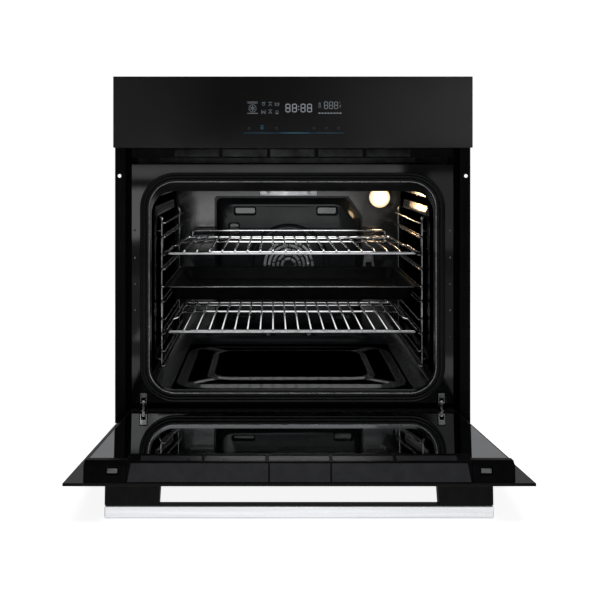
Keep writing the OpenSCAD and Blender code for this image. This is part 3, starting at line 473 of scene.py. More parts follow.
def wire_rack(name, body):
    """Frame with a notched side rail, surface wires, cross bars and an upstand at the rear."""
    low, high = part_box(name)
    z = low.z + RAIL_R
    x = high.x - RAIL_R
    y0 = low.y + RAIL_R
    y1 = high.y - RAIL_R
    depth = y1 - y0
    jog = 8 * MM
    bar_r = 2.3 * MM
    stand_r = 2.1 * MM
    wire_end = 2 * MM
    dip = 0.4 * MM
    bm = bmesh.new()
    right = [(x, y0, z), (x, y0 + depth * 0.38, z), (x - jog * 0.9, y0 + depth * 0.42, z),
             (x - jog, y0 + depth * 0.6, z), (x - jog, y1, z)]
    left = [(-a, b, c) for a, b, c in reversed(right)]
    tube(bm, rounded(right + left, 9 * MM, closed=True), RAIL_R * 0.97, sides=12, closed=True)
    top = z + RAIL_R + SURFACE_R * 0.55
    span = 2 * x - 10 * MM
    count = int(span / RACK_PITCH) + 1
    for k in range(count):
        wire_x = (k - (count - 1) / 2) * RACK_PITCH
        if abs(wire_x) > x - jog - 4 * MM:
            continue
        tube(bm, [(wire_x, y0 - RAIL_R * 0.7, top - dip), (wire_x, y0 + wire_end, top),
                  (wire_x, y1 - wire_end, top), (wire_x, y1 + RAIL_R * 0.6, top - dip)],
             SURFACE_R, sides=8)
    for share in (0.63, 0.87):
        y = low.y + share * (high.y - low.y)
        bar_z = z + 0.5 * MM
        tube(bm, [(-x + jog, y, bar_z), (x - jog, y, bar_z)], bar_r, sides=8)
    stand = high.x - 23 * MM
    rise = high.z - stand_r
    tube(bm, rounded([(-stand, y1, z), (-stand, y1, rise), (stand, y1, rise), (stand, y1, z)],
                     10 * MM), stand_r)
    made = piece(name + "_wires", bm, body, "chrome_wire", sharp=60)
    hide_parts(name)


wire_rack("rack_upper", "upper_rack")
wire_rack("rack_lower", "lower_rack")


# ---- Side ladders ----

LADDER_LEVELS = 5
LADDER_STEP = 56 * MM
POST_R = 2.5 * MM
RUNG_R = 2.0 * MM
STUD_R = 2.1 * MM


def ladder(name, s):
    """Two posts with, at each level, a doubled support wire and a wire above it."""
    low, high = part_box(name)
    if s < 0:
        low.x, high.x = -high.x, -low.x
    rung_x = low.x + RUNG_R
    post_x = rung_x + 3.5 * MM + POST_R - 0.5 * MM
    foot_x = post_x + 4 * MM
    y0 = low.y
    y1 = high.y
    post_inset = 12 * MM
    guard = 24 * MM
    first = low.z + 8 * MM
    stud_rise = 11 * MM
    wires = bmesh.new()

    def at(px, py, pz):
        return (s * px, py, pz)

    for y, lean in ((y0 + post_inset, -1), (y1 - post_inset, 1)):
        tube(wires, rounded([at(foot_x, y, low.z + 1 * MM), at(post_x, y, low.z + 6 * MM),
                             at(post_x, y, high.z - 6 * MM), at(foot_x, y, high.z - MM)],
                            4 * MM), POST_R)
        for level in (0, LADDER_LEVELS - 1):
            z = first + level * LADDER_STEP + stud_rise
            tube(wires, rounded([at(post_x, y - 4 * MM * lean, z), at(post_x, y, z),
                                 at(high.x, y, z)], 3 * MM), STUD_R, sides=8)
    for n in range(LADDER_LEVELS):
        z = first + n * LADDER_STEP
        far = rung_x + 7 * MM
        tube(wires, rounded([at(rung_x, y1, z), at(rung_x, y0 + RUNG_R, z),
                             at(far, y0 + RUNG_R, z), at(far, y1, z)], 3.4 * MM), RUNG_R, sides=8)
        tube(wires, rounded([at(post_x, y0 + 2 * RUNG_R, z + guard + 2 * MM),
                             at(rung_x, y0 + 4 * RUNG_R, z + guard),
                             at(rung_x, y1 - 4 * RUNG_R, z + guard),
                             at(post_x, y1 - 2 * RUNG_R, z + guard + 2 * MM)], 8 * MM),
             RUNG_R, sides=8)
    made = piece(name + "_wires", wires, "oven", "chrome_wire", LADDER_WIRE_PAINTED_SHADE, sharp=60)
    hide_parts(name)


ladder("ladder_left", -1)
ladder("ladder_right", 1)


# ---- Baking tray ----

def baking_tray():
    """Pressed enamelled tray with a rolled rim, sloping walls and a crowned floor."""
    low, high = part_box("baking_tray")
    rim_z = high.z
    inside = [(1.0, -0.9), (2.2, -0.1), (4.5, -0.5), (9.5, -0.9), (11.5, -2.2), (13.0, -6.0),
              (17.0, -20.0), (19.5, -23.4), (24.0, -24.6), (60.0, -24.2)]
    under = [(60.0, -25.4), (22.5, -25.9), (17.8, -24.6), (15.2, -20.6), (11.4, -6.8),
             (9.6, -3.2), (7.5, -1.9), (3.5, -1.5), (2.4, -1.6), (1.8, -2.2), (0.6, -2.2),
             (0.0, -1.5)]
    rings = []
    for inset, drop in inside + under:
        inset, drop = inset * MM, drop * MM
        corner = max(16 * MM - inset * 0.25, 6 * MM)
        outline = round_rect(low.x + inset, high.x - inset, low.y + inset, high.y - inset, corner)
        rings.append([(x, y, rim_z + drop) for x, y in outline])
    bm = bmesh.new()
    split = len(inside)
    loft(bm, rings[split:] + rings[:split])
    bm.verts.ensure_lookup_table()
    count = len(rings[0])
    first = bm.verts[:count]
    last = bm.verts[-count:]
    bm.faces.new(first)
    bm.faces.new(last)
    made = piece("baking_tray_pressing", bm, "tray", "enamel", TRAY_ENAMEL, sharp=50)
    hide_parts("baking_tray")
    bead = bmesh.new()
    outline = round_rect(low.x + 0.9 * MM, high.x - 0.9 * MM, low.y + 0.9 * MM, high.y - 0.9 * MM,
                         15 * MM)
    tube(bead, [(x, y, rim_z - 1.2 * MM) for x, y in outline], 0.8 * MM, sides=8, closed=True)
    # The rim bead's grey metal is a painted highlight line along the tray's edge
    piece("baking_tray_rim", bead, "tray", "enamel", EDGE_BEAD_HIGHLIGHT, sharp=60)


baking_tray()


# ---- Gasket and mouth edge ----

GASKET_W = 14.5 * MM
GASKET_CORNER = 59.5 * MM


def gasket_ring(inset, y):
    low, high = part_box("door_gasket")
    outline = round_rect(low.x + inset, high.x - inset, low.z + inset, high.z - inset,
                         GASKET_CORNER - inset, steps=14)
    return [(x, y, z) for x, z in outline]


def gasket():
    """Rubber ring with three lips round the mouth of the cavity."""
    low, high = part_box("door_gasket")
    base = high.y
    rise = high.y - low.y
    profile = [(0.0, 0.0), (0.0, 0.55), (0.06, 0.85), (0.12, 1.0), (0.19, 0.9), (0.25, 0.5),
               (0.31, 0.45), (0.37, 0.75), (0.43, 0.98), (0.5, 1.0), (0.56, 0.8), (0.62, 0.42),
               (0.68, 0.42), (0.75, 0.75), (0.82, 0.97), (0.9, 0.92), (0.96, 0.7), (1.0, 0.35),
               (1.0, 0.0)]
    bm = bmesh.new()
    loft(bm, [gasket_ring(a * GASKET_W, base - h * rise) for a, h in profile], wrap=True)
    made = piece("door_gasket_lips", bm, "oven", "seal_rubber", sharp=60)
    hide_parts("door_gasket")
    # A grey metal bead along the mouth: a painted highlight line
    bm = bmesh.new()
    tube(bm, gasket_ring(GASKET_W + 0.9 * MM, base - 3.2 * MM), 0.9 * MM, sides=8, closed=True)
    piece("mouth_edge_highlight", bm, "oven", "enamel", EDGE_BEAD_HIGHLIGHT, sharp=60)


gasket()


# ---- Cavity ----

def ease(value, low, high):
    t = max(0.0, min(1.0, (value - low) / (high - low)))
    return t * t * (3 - 2 * t)


def pad(u, v, half_u, half_v, corner):
    """Signed distance from the edge of a rounded panel, negative inside."""
    a = abs(u) - half_u + corner
    b = abs(v) - half_v + corner
    outside = math.hypot(max(a, 0), max(b, 0))
    return outside + min(max(a, b), 0) - corner


def cavity():
    """Pressed enamel muffle with raised panels, floor beads and the steam vent."""
    low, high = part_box("cavity_wrap")
    sheet = 1.2 * MM
    corner = 30 * MM
    x1 = high.x - sheet
    z0 = low.z + sheet
    z1 = high.z - sheet
    mid_z = (z0 + z1) / 2
    cell = 4 * MM
    small = 0.01 * MM
    outline = []
    walls = []
    corner_steps = 9
    spans = [("floor", (-x1 + corner, z0), (1, 0), 2 * (x1 - corner), (0, 1)),
             ("right", (x1, z0 + corner), (0, 1), z1 - z0 - 2 * corner, (-1, 0)),
             ("top", (x1 - corner, z1), (-1, 0), 2 * (x1 - corner), (0, -1)),
             ("left", (-x1, z1 - corner), (0, -1), z1 - z0 - 2 * corner, (1, 0))]
    for index, (wall, start, along, length, inward) in enumerate(spans):
        steps = int(length / cell)
        for k in range(steps + 1):
            t = length * k / steps
            outline.append(((start[0] + along[0] * t, start[1] + along[1] * t), inward))
            walls.append(wall)
        cx = start[0] + along[0] * length + inward[0] * corner
        cz = start[1] + along[1] * length + inward[1] * corner
        for k in range(1, corner_steps):
            t = math.radians(-90 + 90 * index + 90 * k / corner_steps)
            way = (math.cos(t), math.sin(t))
            outline.append(((cx + corner * way[0], cz + corner * way[1]), (-way[0], -way[1])))
            walls.append("corner")
    y0 = low.y
    y1 = high.y
    mid_y = (y0 + y1) / 2
    half_y = (y1 - y0) / 2
    half_z = (z1 - z0) / 2
    rows = int((y1 - y0) / cell)
    vent = (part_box("cavity_rear_wall")[0].y - 34 * MM, z1 - 44 * MM)
    bead_w = 0.06

    def floor_press(x, y):
        """A raised panel inside a raised rim, joined by a bead at each corner."""
        rim = pad(x, y - mid_y, x1 - 44 * MM, half_y - 42 * MM, 46 * MM)
        inner = pad(x, y - mid_y, x1 - 92 * MM, half_y - 92 * MM, 40 * MM)
        diagonal = abs(abs(x) / (x1 - 44 * MM) - abs(y - mid_y) / (half_y - 42 * MM))
        bead = (1 - ease(diagonal, 0.0, bead_w)) * ease(inner, 0, 12 * MM) * ease(-rim, 0, 12 * MM)
        return (3.2 * ease(-rim, -6 * MM, 8 * MM) + 2.4 * ease(-inner, -4 * MM, 6 * MM)
                + 2.0 * bead) * MM

    def press(wall, x, y, z):
        """How far the sheet is pressed into the cavity here."""
        if wall == "floor":
            return floor_press(x, y)
        if wall in ("left", "right"):
            rim = pad(z - mid_z, y - mid_y, half_z - 52 * MM, half_y - 46 * MM, 30 * MM)
            return 2.6 * ease(-rim, -5 * MM, 7 * MM) * MM
        if wall == "top":
            rim = pad(x, y - mid_y, x1 - 60 * MM, half_y - 55 * MM, 30 * MM)
            return 2.0 * ease(-rim, -5 * MM, 7 * MM) * MM
        return 0.0

    def vent_pad(y, z):
        return pad(z - vent[1], y - vent[0], 11 * MM, 6 * MM, 6 * MM)

    bm = bmesh.new()
    grid = []
    hole = {}
    for j in range(rows + 1):
        y = y0 + (y1 - y0) * j / rows
        row = []
        for ((x, z), inward), wall in zip(outline, walls):
            py, pz = y, z
            edge = 1.0
            if wall == "left":
                edge = vent_pad(y, z)
                if abs(edge) < cell * 0.6:
                    pz = z - edge * (vent_pad(y, z + small) - edge) / small
                    py = y - edge * (vent_pad(y + small, z) - edge) / small
                    edge = 0.0
            push = press(wall, x, y, z)
            vert = bm.verts.new((x + inward[0] * push, py, pz + inward[1] * push))
            hole[vert] = edge
            row.append(vert)
        grid.append(row)
    for a, b in zip(grid, grid[1:]):
        for i in range(len(a)):
            k = (i + 1) % len(a)
            corners = (a[i], a[k], b[k], b[i])
            if all(hole[v] <= 1e-9 for v in corners):
                continue
            bm.faces.new(corners)
    bmesh.ops.solidify(bm, geom=bm.faces[:], thickness=-sheet)
    # The floor of this sheet carries painted light: its finish is lighter below 75 mm
    made = piece("cavity_enamel", bm, "oven", "enamel", LINER_ENAMEL_PAINTED_FLOOR_LIGHT, sharp=50)
    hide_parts("cavity_wrap")


cavity()


# ---- Fan cover ----

BEVEL = 17 * MM
COVER_SHEET = 1.2 * MM
COVER_CUT = (30 * MM, 43 * MM)
COVER_SHARP = 22
LIP_W, LIP_DEPTH, LIP_WALL = 3.2 * MM, 6 * MM, 0.9 * MM


def cover_ring(low, high, inset, y):
    """Outline of the cover with its upper right corner cut; its corners get rounder inwards."""
    share = min(inset / BEVEL, 1.0)
    edge = (4 + 9 * share) * MM
    radius = (3 + 9 * share) * MM
    cut_x, cut_z = COVER_CUT
    x0, x1 = low.x + inset, high.x - inset
    z0, z1 = low.z + inset, high.z - inset
    points = [(x0, z0 + edge), (x0 + edge, z0), (x1 - edge, z0), (x1, z0 + edge),
              (x1, z1 - cut_z), (x1 - cut_x, z1), (x0 + edge, z1), (x0, z1 - edge)]
    return rounded([(x, y, z) for x, z in points], radius, closed=True)


def opening(x, z, width, height, y, shrink=0.0):
    """Outline of an opening with rounded corners."""
    half_w = width / 2 - shrink
    half_h = height / 2 - shrink
    outline = round_rect(-half_w, half_w, -half_h, half_h, min(half_w, half_h) * 0.5, steps=4)
    return [(x + a, y, z + b) for a, b in outline]


def arc_solid(bm, centre, r0, r1, start, end, y0, y1):
    """A curved slot cutter."""
    steps = 10
    turns = [start + (end - start) * k / steps for k in range(steps + 1)]
    outline = [(r1, t) for t in turns] + [(r0, t) for t in reversed(turns)]
    rings = []
    for y in (y0, y1):
        rings.append([(centre.x + r * math.cos(t), y, centre.z + r * math.sin(t))
                      for r, t in outline])
    loft(bm, rings, caps=True)


def cover_shell(low, high):
    """Pressed sheet with a foot flange, a wide bevel and a flat face."""
    face = low.y
    back = high.y
    foot = 4.2 * MM
    steps = [(foot + 1.2 * MM, back - 3.0 * MM), (BEVEL - 2 * MM, face + 2.0 * MM),
             (BEVEL, face + 0.5 * MM), (BEVEL + 2.5 * MM, face)]
    outer = [(0.0, back), (0.0, back - COVER_SHEET), (foot, back - COVER_SHEET)] + steps
    inner = [(inset + COVER_SHEET, y + COVER_SHEET) for inset, y in reversed(steps)]
    inner.append((foot + COVER_SHEET, back))
    bm = bmesh.new()
    loops = [[bm.verts.new(p) for p in cover_ring(low, high, inset, y)]
             for inset, y in outer + inner]
    outer_face = loops[len(outer) - 1]
    inner_face = loops[len(outer)]
    for a, b in zip(loops, loops[1:] + loops[:1]):
        if a is outer_face:
            continue
        for i in range(len(a)):
            j = (i + 1) % len(a)
            bm.faces.new((a[i], a[j], b[j], b[i]))
    bm.faces.new(outer_face)
    bm.faces.new(inner_face)
    return bm


def grille_slots(cutters, centre, y0, y1):
    """Rings of curved slots in front of the fan."""
    half_slot = 2.6
    bridge = 2.3
    twist = 0.02
    for r in (14, 23, 32, 41, 50):
        count = 6 if r < 20 else 8
        for k in range(count):
            start = 2 * math.pi * k / count + r * twist
            end = start + 2 * math.pi / count - bridge / r
            arc_solid(cutters, centre, (r - half_slot) * MM, (r + half_slot) * MM, start, end,
                      y0, y1)


def opening_lips(openings, face):
    """A slanted rim inside each opening."""
    bm = bmesh.new()
    deep = face + LIP_DEPTH
    for place in openings:
        rings = [opening(*place, face), opening(*place, deep, LIP_W),
                 opening(*place, deep + LIP_WALL, LIP_W - LIP_WALL),
                 opening(*place, face + LIP_WALL, -LIP_WALL)]
        loft(bm, rings, wrap=True)
    piece("fan_cover_opening_lips", bm, "oven", "cover_enamel", sharp=50)


def ring_groove(centre, face):
    """Pressed channel round the grille."""
    profile = [(72.4, 0), (74.4, 2.8), (77.0, 4.7), (80.2, 5.4), (83.4, 4.7), (86.0, 2.8),
               (88.0, 0), (88.6, 1.2), (86.8, 4.0), (83.8, 6.0), (80.2, 6.7), (76.6, 6.0),
               (73.6, 4.0), (71.8, 1.2)]
    bm = bmesh.new()
    revolve(bm, [(r * MM, d * MM) for r, d in profile], (centre.x, face, centre.z), steps=96,
            closed=True)
    piece("fan_cover_ring_groove", bm, "oven", "cover_enamel", sharp=50)


def fan_cover():
    """Cover with a ring groove round the suction grille, lipped openings and its bracket."""
    low, high = [Vector(p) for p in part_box("fan_cover")]
    tab = 13 * MM
    tab_x = 43 * MM
    half_tab = 15 * MM
    half_bracket = 60 * MM
    low.z += tab
    high.z -= tab
    face = low.y
    back = high.y
    plate = (back - 1.4 * MM, back - 0.1 * MM)
    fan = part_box("convection_impeller")
    centre = (fan[0] + fan[1]) / 2
    bm = cover_shell(low, high)
    made = piece("fan_cover_pressing", bm, "oven", "cover_enamel", sharp=COVER_SHARP)
    tabs = bmesh.new()
    for x in (-tab_x, tab_x):
        block(tabs, (x - half_tab, plate[0], low.z - tab + 0.4 * MM),
              (x + half_tab, plate[1], low.z + 1 * MM), 0.4 * MM)
    piece("fan_cover_tabs", tabs, "oven", "cover_enamel")
    openings = [(low.x + 65 * MM, high.z - 31 * MM, 48 * MM, 19 * MM),
                (low.x + 42 * MM, high.z - 70 * MM, 25 * MM, 30 * MM),
                (high.x - 76 * MM, high.z - 31 * MM, 46 * MM, 20 * MM),
                (low.x + 63 * MM, low.z + 29 * MM, 48 * MM, 13 * MM),
                (high.x - 43 * MM, low.z + 27 * MM, 42 * MM, 17 * MM)]
    cutters = bmesh.new()
    y0, y1 = face - 5 * MM, face + 8 * MM
    grille_slots(cutters, centre, y0, y1)
    for place in openings:
        loft(cutters, [opening(*place, y) for y in (y0, y1)], caps=True)
    r0, r1 = 73 * MM, 87.5 * MM
    d0, d1 = y0 - face, y1 - face
    revolve(cutters, [(r0, d0), (r1, d0), (r1, d1), (r0, d1)], (centre.x, face, centre.z),
            steps=96, closed=True)
    cut_out(made, cutters, COVER_SHARP)
    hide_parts("fan_cover")
    opening_lips(openings, face)
    ring_groove(centre, face)
    bracket = bmesh.new()
    block(bracket, (-half_bracket, plate[0], high.z + 0.6 * MM),
          (half_bracket, plate[1], high.z + tab - 0.4 * MM), 0.4 * MM)
    piece("fan_cover_bracket", bracket, "oven", "fan_metal")


fan_cover()


# ---- Probe tag ----

TAG_SHARP = 40
CUT_OVER = 3 * MM


def probe():
    """Temperature probe in a tapered tag with an arched hole."""
    low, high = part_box("temperature_probe")
    x = (low.x + high.x) / 2
    rod_r = 2.5 * MM
    tag = 1.4 * MM
    half_foot, half_top = 13 * MM, 7.5 * MM
    wall_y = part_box("cavity_rear_wall")[0].y - 0.2 * MM
    front_y = wall_y - tag
    z0, z1 = low.z - 1 * MM, high.z + 5 * MM
    corners = [(x - half_foot, z0), (x + half_foot, z0), (x + half_top, z1), (x - half_top, z1)]
    bm = bmesh.new()
    loft(bm, [rounded([(a, y, b) for a, b in corners], 3 * MM, 4, closed=True)
              for y in (front_y, wall_y)], caps=True)
    rod_z = (low.z + high.z) / 2 + 8 * MM
    tube(bm, [(x, low.y, rod_z), (x, front_y - 2 * MM, rod_z), (x, high.y, rod_z)], rod_r,
         sides=12)
    made = piece("probe_tag", bm, "oven", "lamp_ceramic", TAG_GREY, sharp=TAG_SHARP)
    cutters = bmesh.new()
    loft(cutters, [opening(x, z0 + 8 * MM, 13 * MM, 10 * MM, y)
                   for y in (front_y - CUT_OVER, wall_y + CUT_OVER)], caps=True)
    cut_out(made, cutters, TAG_SHARP)
    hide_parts("temperature_probe")


probe()


# ---- Studs of the front frame ----

def frame_studs():
    """Small domed studs in the holes beside the door gasket."""
    low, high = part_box("front_frame")
    edge = 5 * MM
    profile = [(0.0, -1.0), (1.0, -0.9), (1.6, -0.5), (1.9, 0.1), (1.9, 1.0), (0.0, 1.0)]
    bm = bmesh.new()
    for s in (-1, 1):
        for share in (0.28, 0.39, 0.5, 0.61, 0.725):
            place = (s * (high.x - edge), low.y, low.z + share * (high.z - low.z))
            stud = bmesh.new()
            revolve(stud, [(r * MM, d * MM) for r, d in profile], place, steps=16)
            mesh = bpy.data.meshes.new("stud")
            stud.to_mesh(mesh)
            stud.free()
            bm.from_mesh(mesh)
            bpy.data.meshes.remove(mesh)
    piece("frame_studs", bm, "oven", "screw_steel", sharp=50)


frame_studs()


# ---- Trim panels and clips of the door ----

def prism(bm, outline, way):
    """A plate from an outline and the vector of its thickness."""
    loft(bm, [[Vector(p) for p in outline], [Vector(p) + Vector(way) for p in outline]], caps=True)


def trim_panels():
    """Grey panels in the vents and on the edge of the black trim, drawn on the closed door."""
    low, high = closed_box("door_top_trim")
    x = high.x
    z0, z1 = low.z, high.z
    lean_y = 6.2 * MM
    slope = lean_y / (z1 - z0)
    vents = 5
    solid_ends = 30 * MM
    half_rib = 2 * MM
    gap = 0.3 * MM
    sunk = 0.8 * MM
    plate = 1.4 * MM
    pitch = (2 * x - solid_ends) / vents
    bm = bmesh.new()
    for k in range(vents):
        middle = (k - (vents - 1) / 2) * pitch
        xa = middle - pitch / 2 + half_rib + gap
        xb = middle + pitch / 2 - half_rib - gap
        za, zb = z0 + 3.9 * MM, z1 - 4.4 * MM
        ya = high.y - slope * (za - z0) - sunk
        yb = high.y - slope * (zb - z0) - sunk
        prism(bm, [(xa, ya, za), (xb, ya, za), (xb, yb, zb), (xa, yb, zb)], (0, -plate, 0))
    ya, yb = low.y + 1.2 * MM, high.y - lean_y - 1.6 * MM
    z = z1 - 0.1 * MM
    raised = 0.5 * MM
    seam = 1 * MM
    slant = 4.5 * MM
    left_seam, right_seam = -38 * MM, 40 * MM
    spans = [(-x + seam, slant, left_seam - seam, 0), (left_seam + seam, 0, right_seam - seam, 0),
             (right_seam + seam, 0, x - seam, -slant)]
    for xa, slant_a, xb, slant_b in spans:
        prism(bm, [(xa, ya, z), (xb, ya, z), (xb + slant_b, yb, z), (xa + slant_a, yb, z)],
              (0, 0, raised))
    on_door(bm)
    piece("door_trim_panels", bm, "door", "trim_plastic", sharp=30)


def cap_clips():
    """Steel clip behind the window of each end cap, drawn on the closed door."""
    low, high = closed_box("door_end_caps")
    cap_l = 54 * MM
    inner = high.x - cap_l
    clip = (11.5 * MM, 24.5 * MM)
    y0, y1 = low.y + 11.4 * MM, low.y + 17.6 * MM
    z0, z1 = high.z - 6 * MM, high.z - 2.2 * MM
    bm = bmesh.new()
    for s in (-1, 1):
        ends = sorted(s * (inner + end) for end in clip)
        block(bm, (ends[0], y0, z0), (ends[1], y1, z1), 0.5 * MM)
    on_door(bm)
    piece("door_cap_clips", bm, "door", "zinc_sheet", CLIP_GREY)


trim_panels()
cap_clips()


# ---- Lamp ----

def lamp():
    """Glass dome that screws over the bulb; its ribs are not drawn."""
    low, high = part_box("lamp_glass")
    centre = ((low.x + high.x) / 2, high.y, (low.z + high.z) / 2)
    radius = (high.x - low.x) / 2
    depth = high.y - low.y
    profile = [(0.0, -1.0), (0.25, -0.99), (0.5, -0.94), (0.72, -0.84), (0.86, -0.72),
               (0.95, -0.58), (1.0, -0.42), (1.0, 0.0), (0.86, 0.0), (0.86, -0.4), (0.7, -0.66),
               (0.4, -0.8), (0.0, -0.84)]
    bm = bmesh.new()
    revolve(bm, [(r * radius, d * depth) for r, d in profile], centre)
    made = piece("lamp_dome", bm, "oven", "lamp_glow", sharp=60)
    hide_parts("lamp_glass")
    return Vector(centre) - Vector((0, depth + 12 * MM, 0))


lamp_spot = lamp()


# ---- Display ----

panel_low, panel_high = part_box("control_panel_glass")
PRINT_Y = panel_low.y + 0.03 * MM
PRINT_Z = (panel_low.z + panel_high.z) / 2
PRINT_LIFT = 0.12 * MM


def stroke(bm, points, width):
    """A printed line of thin raised bars; its points are in mm from the middle of the panel."""
    places = [Vector((x * MM, PRINT_Y, PRINT_Z + z * MM)) for x, z in points]
    for start, end in zip(places, places[1:]):
        way = end - start
        if way.length < WELD_DISTANCE:
            continue
        half = Vector((-way.z, 0, way.x)).normalized() * width * MM / 2
        ends = way.normalized() * width * MM * 0.3
        a = start - ends
        b = end + ends
        lift = Vector((0, -PRINT_LIFT, 0))
        loft(bm, [[a + half, a - half, b - half, b + half],
                  [a + half + lift, a - half + lift, b - half + lift, b + half + lift]], caps=True)


def circle(cx, cz, radius, steps=20):
    turns = [2 * math.pi * k / steps for k in range(steps + 1)]
    return [(cx + radius * math.cos(t), cz + radius * math.sin(t)) for t in turns]


def eight(bm, x, z, width, height, line):
    """A seven segment digit with all its segments lit."""
    gap = line * 0.35
    half = height / 2
    for level in (0, half, height):
        stroke(bm, [(x + line * 0.7, z + level), (x + width - line * 0.7, z + level)], line)
    for side_x in (x, x + width):
        for start in (gap, half + gap):
            stroke(bm, [(side_x, z + start + line * 0.2),
                        (side_x, z + start + half - 2 * gap - line * 0.2)], line)


def display():
    """Lit symbols and touch marks, printed on the face of the control panel."""
    bright = bmesh.new()
    for x in (-11.6, -0.8, 13.4, 24.2):
        eight(bright, x, 0.4, 6.6, 12.6, 1.5)
    for z in (4.2, 9.4):
        stroke(bright, [(8.9, z), (9.7, z)], 1.5)
    dash_z = -1.8
    for k in range(8):
        x = 42.6 + 4.95 * k
        stroke(bright, [(x, dash_z), (x + 2.6, dash_z)], 1.5)
    piece("clock_digits", bright, "oven", "display", PRINT, sharp=180)
    dim = bmesh.new()
    for x in (52.0, 60.3, 68.6):
        eight(dim, x, 5.6, 5.4, 11.2, 1.2)
    stroke(dim, circle(77.4, 15.6, 0.8, 8), 0.5)
    stroke(dim, [(77.0, 9.4), (79.6, 11.8), (77.2, 7.0)], 0.7)
    stroke(dim, circle(44.2, 8.6, 1.7, 10), 0.8)
    stroke(dim, [(43.2, 10.4), (43.2, 15.2), (45.2, 15.2), (45.2, 10.4)], 0.7)
    heat_symbol(dim, -66.9)
    small_symbols(dim)
    piece("display_symbols", dim, "oven", "display", DIM_PRINT, sharp=180)
    faint = bmesh.new()
    touch_z = -26.6
    for x in (-72.7, -27.4, 34.7, 55.3, 75.3):
        stroke(faint, circle(x, touch_z, 1.9, 12), 0.5)
        stroke(faint, [(x, touch_z), (x, touch_z + 2)], 0.5)
    piece("touch_marks", faint, "oven", "display", FAINT_PRINT, sharp=180)
    blue = bmesh.new()
    x = -51.2
    stroke(blue, circle(x, -26.4, 1.7, 12), 1.3)
    stroke(blue, [(x - 2.2, -22.4), (x + 2.2, -22.4)], 0.8)
    bar_z = -34.6
    for x0, x1, width in ((-81, -20, 0.45), (-20, 26, 1.1), (26, 85, 0.45)):
        stroke(blue, [(x0, bar_z), (x1, bar_z)], width)
    piece("touch_light", blue, "oven", "display", BLUE_PRINT, sharp=180)


def heat_symbol(bm, x):
    """The large symbol: grill heat above, a fan in a ring, bottom heat below."""
    stroke(bm, [(x - 8.6, 16.6), (x + 8.6, 16.6)], 1.0)
    stroke(bm, [(x - 8 + 2 * k, 15.2 if k % 2 else 14.0) for k in range(9)], 0.7)
    stroke(bm, [(x - 8.6, -2.0), (x + 8.6, -2.0)], 1.3)
    z = 6.2
    stroke(bm, circle(x, z, 6.0), 0.9)
    blades = 6
    for k in range(blades):
        t = 2 * math.pi * k / blades
        stroke(bm, [(x + math.cos(t), z + math.sin(t)),
                    (x + 4.2 * math.cos(t + 0.5), z + 4.2 * math.sin(t + 0.5))], 1.1)


def small_symbols(bm):
    """Six small heating symbols in two rows, each with some of a ring, a roof, a wave and walls."""
    for column, x in enumerate((-48.7, -37.6, -26.4)):
        for row, z in enumerate((12.9, 0.3)):
            kind = column + 3 * row
            if kind in (0, 2, 5):
                stroke(bm, circle(x, z, 2.0, 12), 0.8)
            if kind in (0, 1, 4):
                stroke(bm, [(x - 3, z + 3.2), (x + 3, z + 3.2)], 0.8)
            if kind in (1, 3, 4):
                stroke(bm, [(x - 2.4, z - 2.8), (x, z + 1), (x + 2.4, z - 2.8)], 0.8)
            if kind in (2, 3):
                for side in (-3, 3):
                    stroke(bm, [(x + side, z + 2.8), (x + side, z - 2.8)], 0.8)
            if kind == 5:
                stroke(bm, [(x - 2.6, z - 3), (x + 2.6, z - 3)], 0.9)


display()


# ---- Edges of the CAD nodes that the light catches ----

for name, width in (("control_panel_glass", 0.8), ("door_outer_glass", 0.8),
                    ("door_inner_glass", 0.6), ("door_top_trim", 0.5), ("door_end_caps", 0.7),
                    ("mounting_flange_left", 0.4), ("mounting_flange_right", 0.4),
                    ("handle_standoffs", 0.8), ("vent_grille", 0.4)):
    soften(name, width * MM)


# ---- Stage, light and camera ----

def brighter_for_camera(tree, socket, seen, reflected):
    """Sets a strength that is higher where the camera looks straight at the studio."""
    path = tree.nodes.new("ShaderNodeLightPath")
    choice = node(tree, "ShaderNodeMapRange", To_Min=reflected, To_Max=seen)
    tree.links.new(path.outputs["Is Camera Ray"], choice.inputs["Value"])
    tree.links.new(choice.outputs["Result"], socket)
    return choice


# The strip of floor that the handle mirrors: its distance from the handle and half its width
STRIP_AHEAD = 90 * MM
STRIP_HALF = 80 * MM
STRIP_FADE = 140 * MM
SEEN_FLOOR, MIRRORED_STRIP, MIRRORED_FLOOR = 0.9, 0.86, 0.1
SEEN_WORLD, MIRRORED_WORLD = 1.0, 0.08


def stage_material():
    """White paper, lit more strongly in a strip of the floor just in front of the handle."""
    material = bpy.data.materials.new("studio")
    material.use_nodes = True
    tree = material.node_tree
    shader = tree.nodes["Principled BSDF"]
    shader.inputs["Base Color"].default_value = (0.6, 0.6, 0.6, 1)
    shader.inputs["Roughness"].default_value = 0.9
    shader.inputs["Specular IOR Level"].default_value = 0.0
    shader.inputs["Emission Color"].default_value = (1, 1, 1, 1)
    choice = brighter_for_camera(tree, shader.inputs["Emission Strength"], SEEN_FLOOR,
                                 MIRRORED_FLOOR)
    place = tree.nodes.new("ShaderNodeTexCoord").outputs["Object"]
    split = tree.nodes.new("ShaderNodeSeparateXYZ")
    tree.links.new(place, split.inputs["Vector"])
    offset = tree.nodes.new("ShaderNodeMath")
    offset.inputs[1].default_value = STRIP_AHEAD - cad_box[0].y
    tree.links.new(split.outputs["Y"], offset.inputs[0])
    away = tree.nodes.new("ShaderNodeMath")
    away.operation = "ABSOLUTE"
    tree.links.new(offset.outputs["Value"], away.inputs[0])
    mirrored = spread(tree, away.outputs["Value"], MIRRORED_STRIP, MIRRORED_FLOOR, STRIP_HALF,
                      STRIP_FADE)
    tree.links.new(mirrored, choice.inputs["To Min"])
    return material


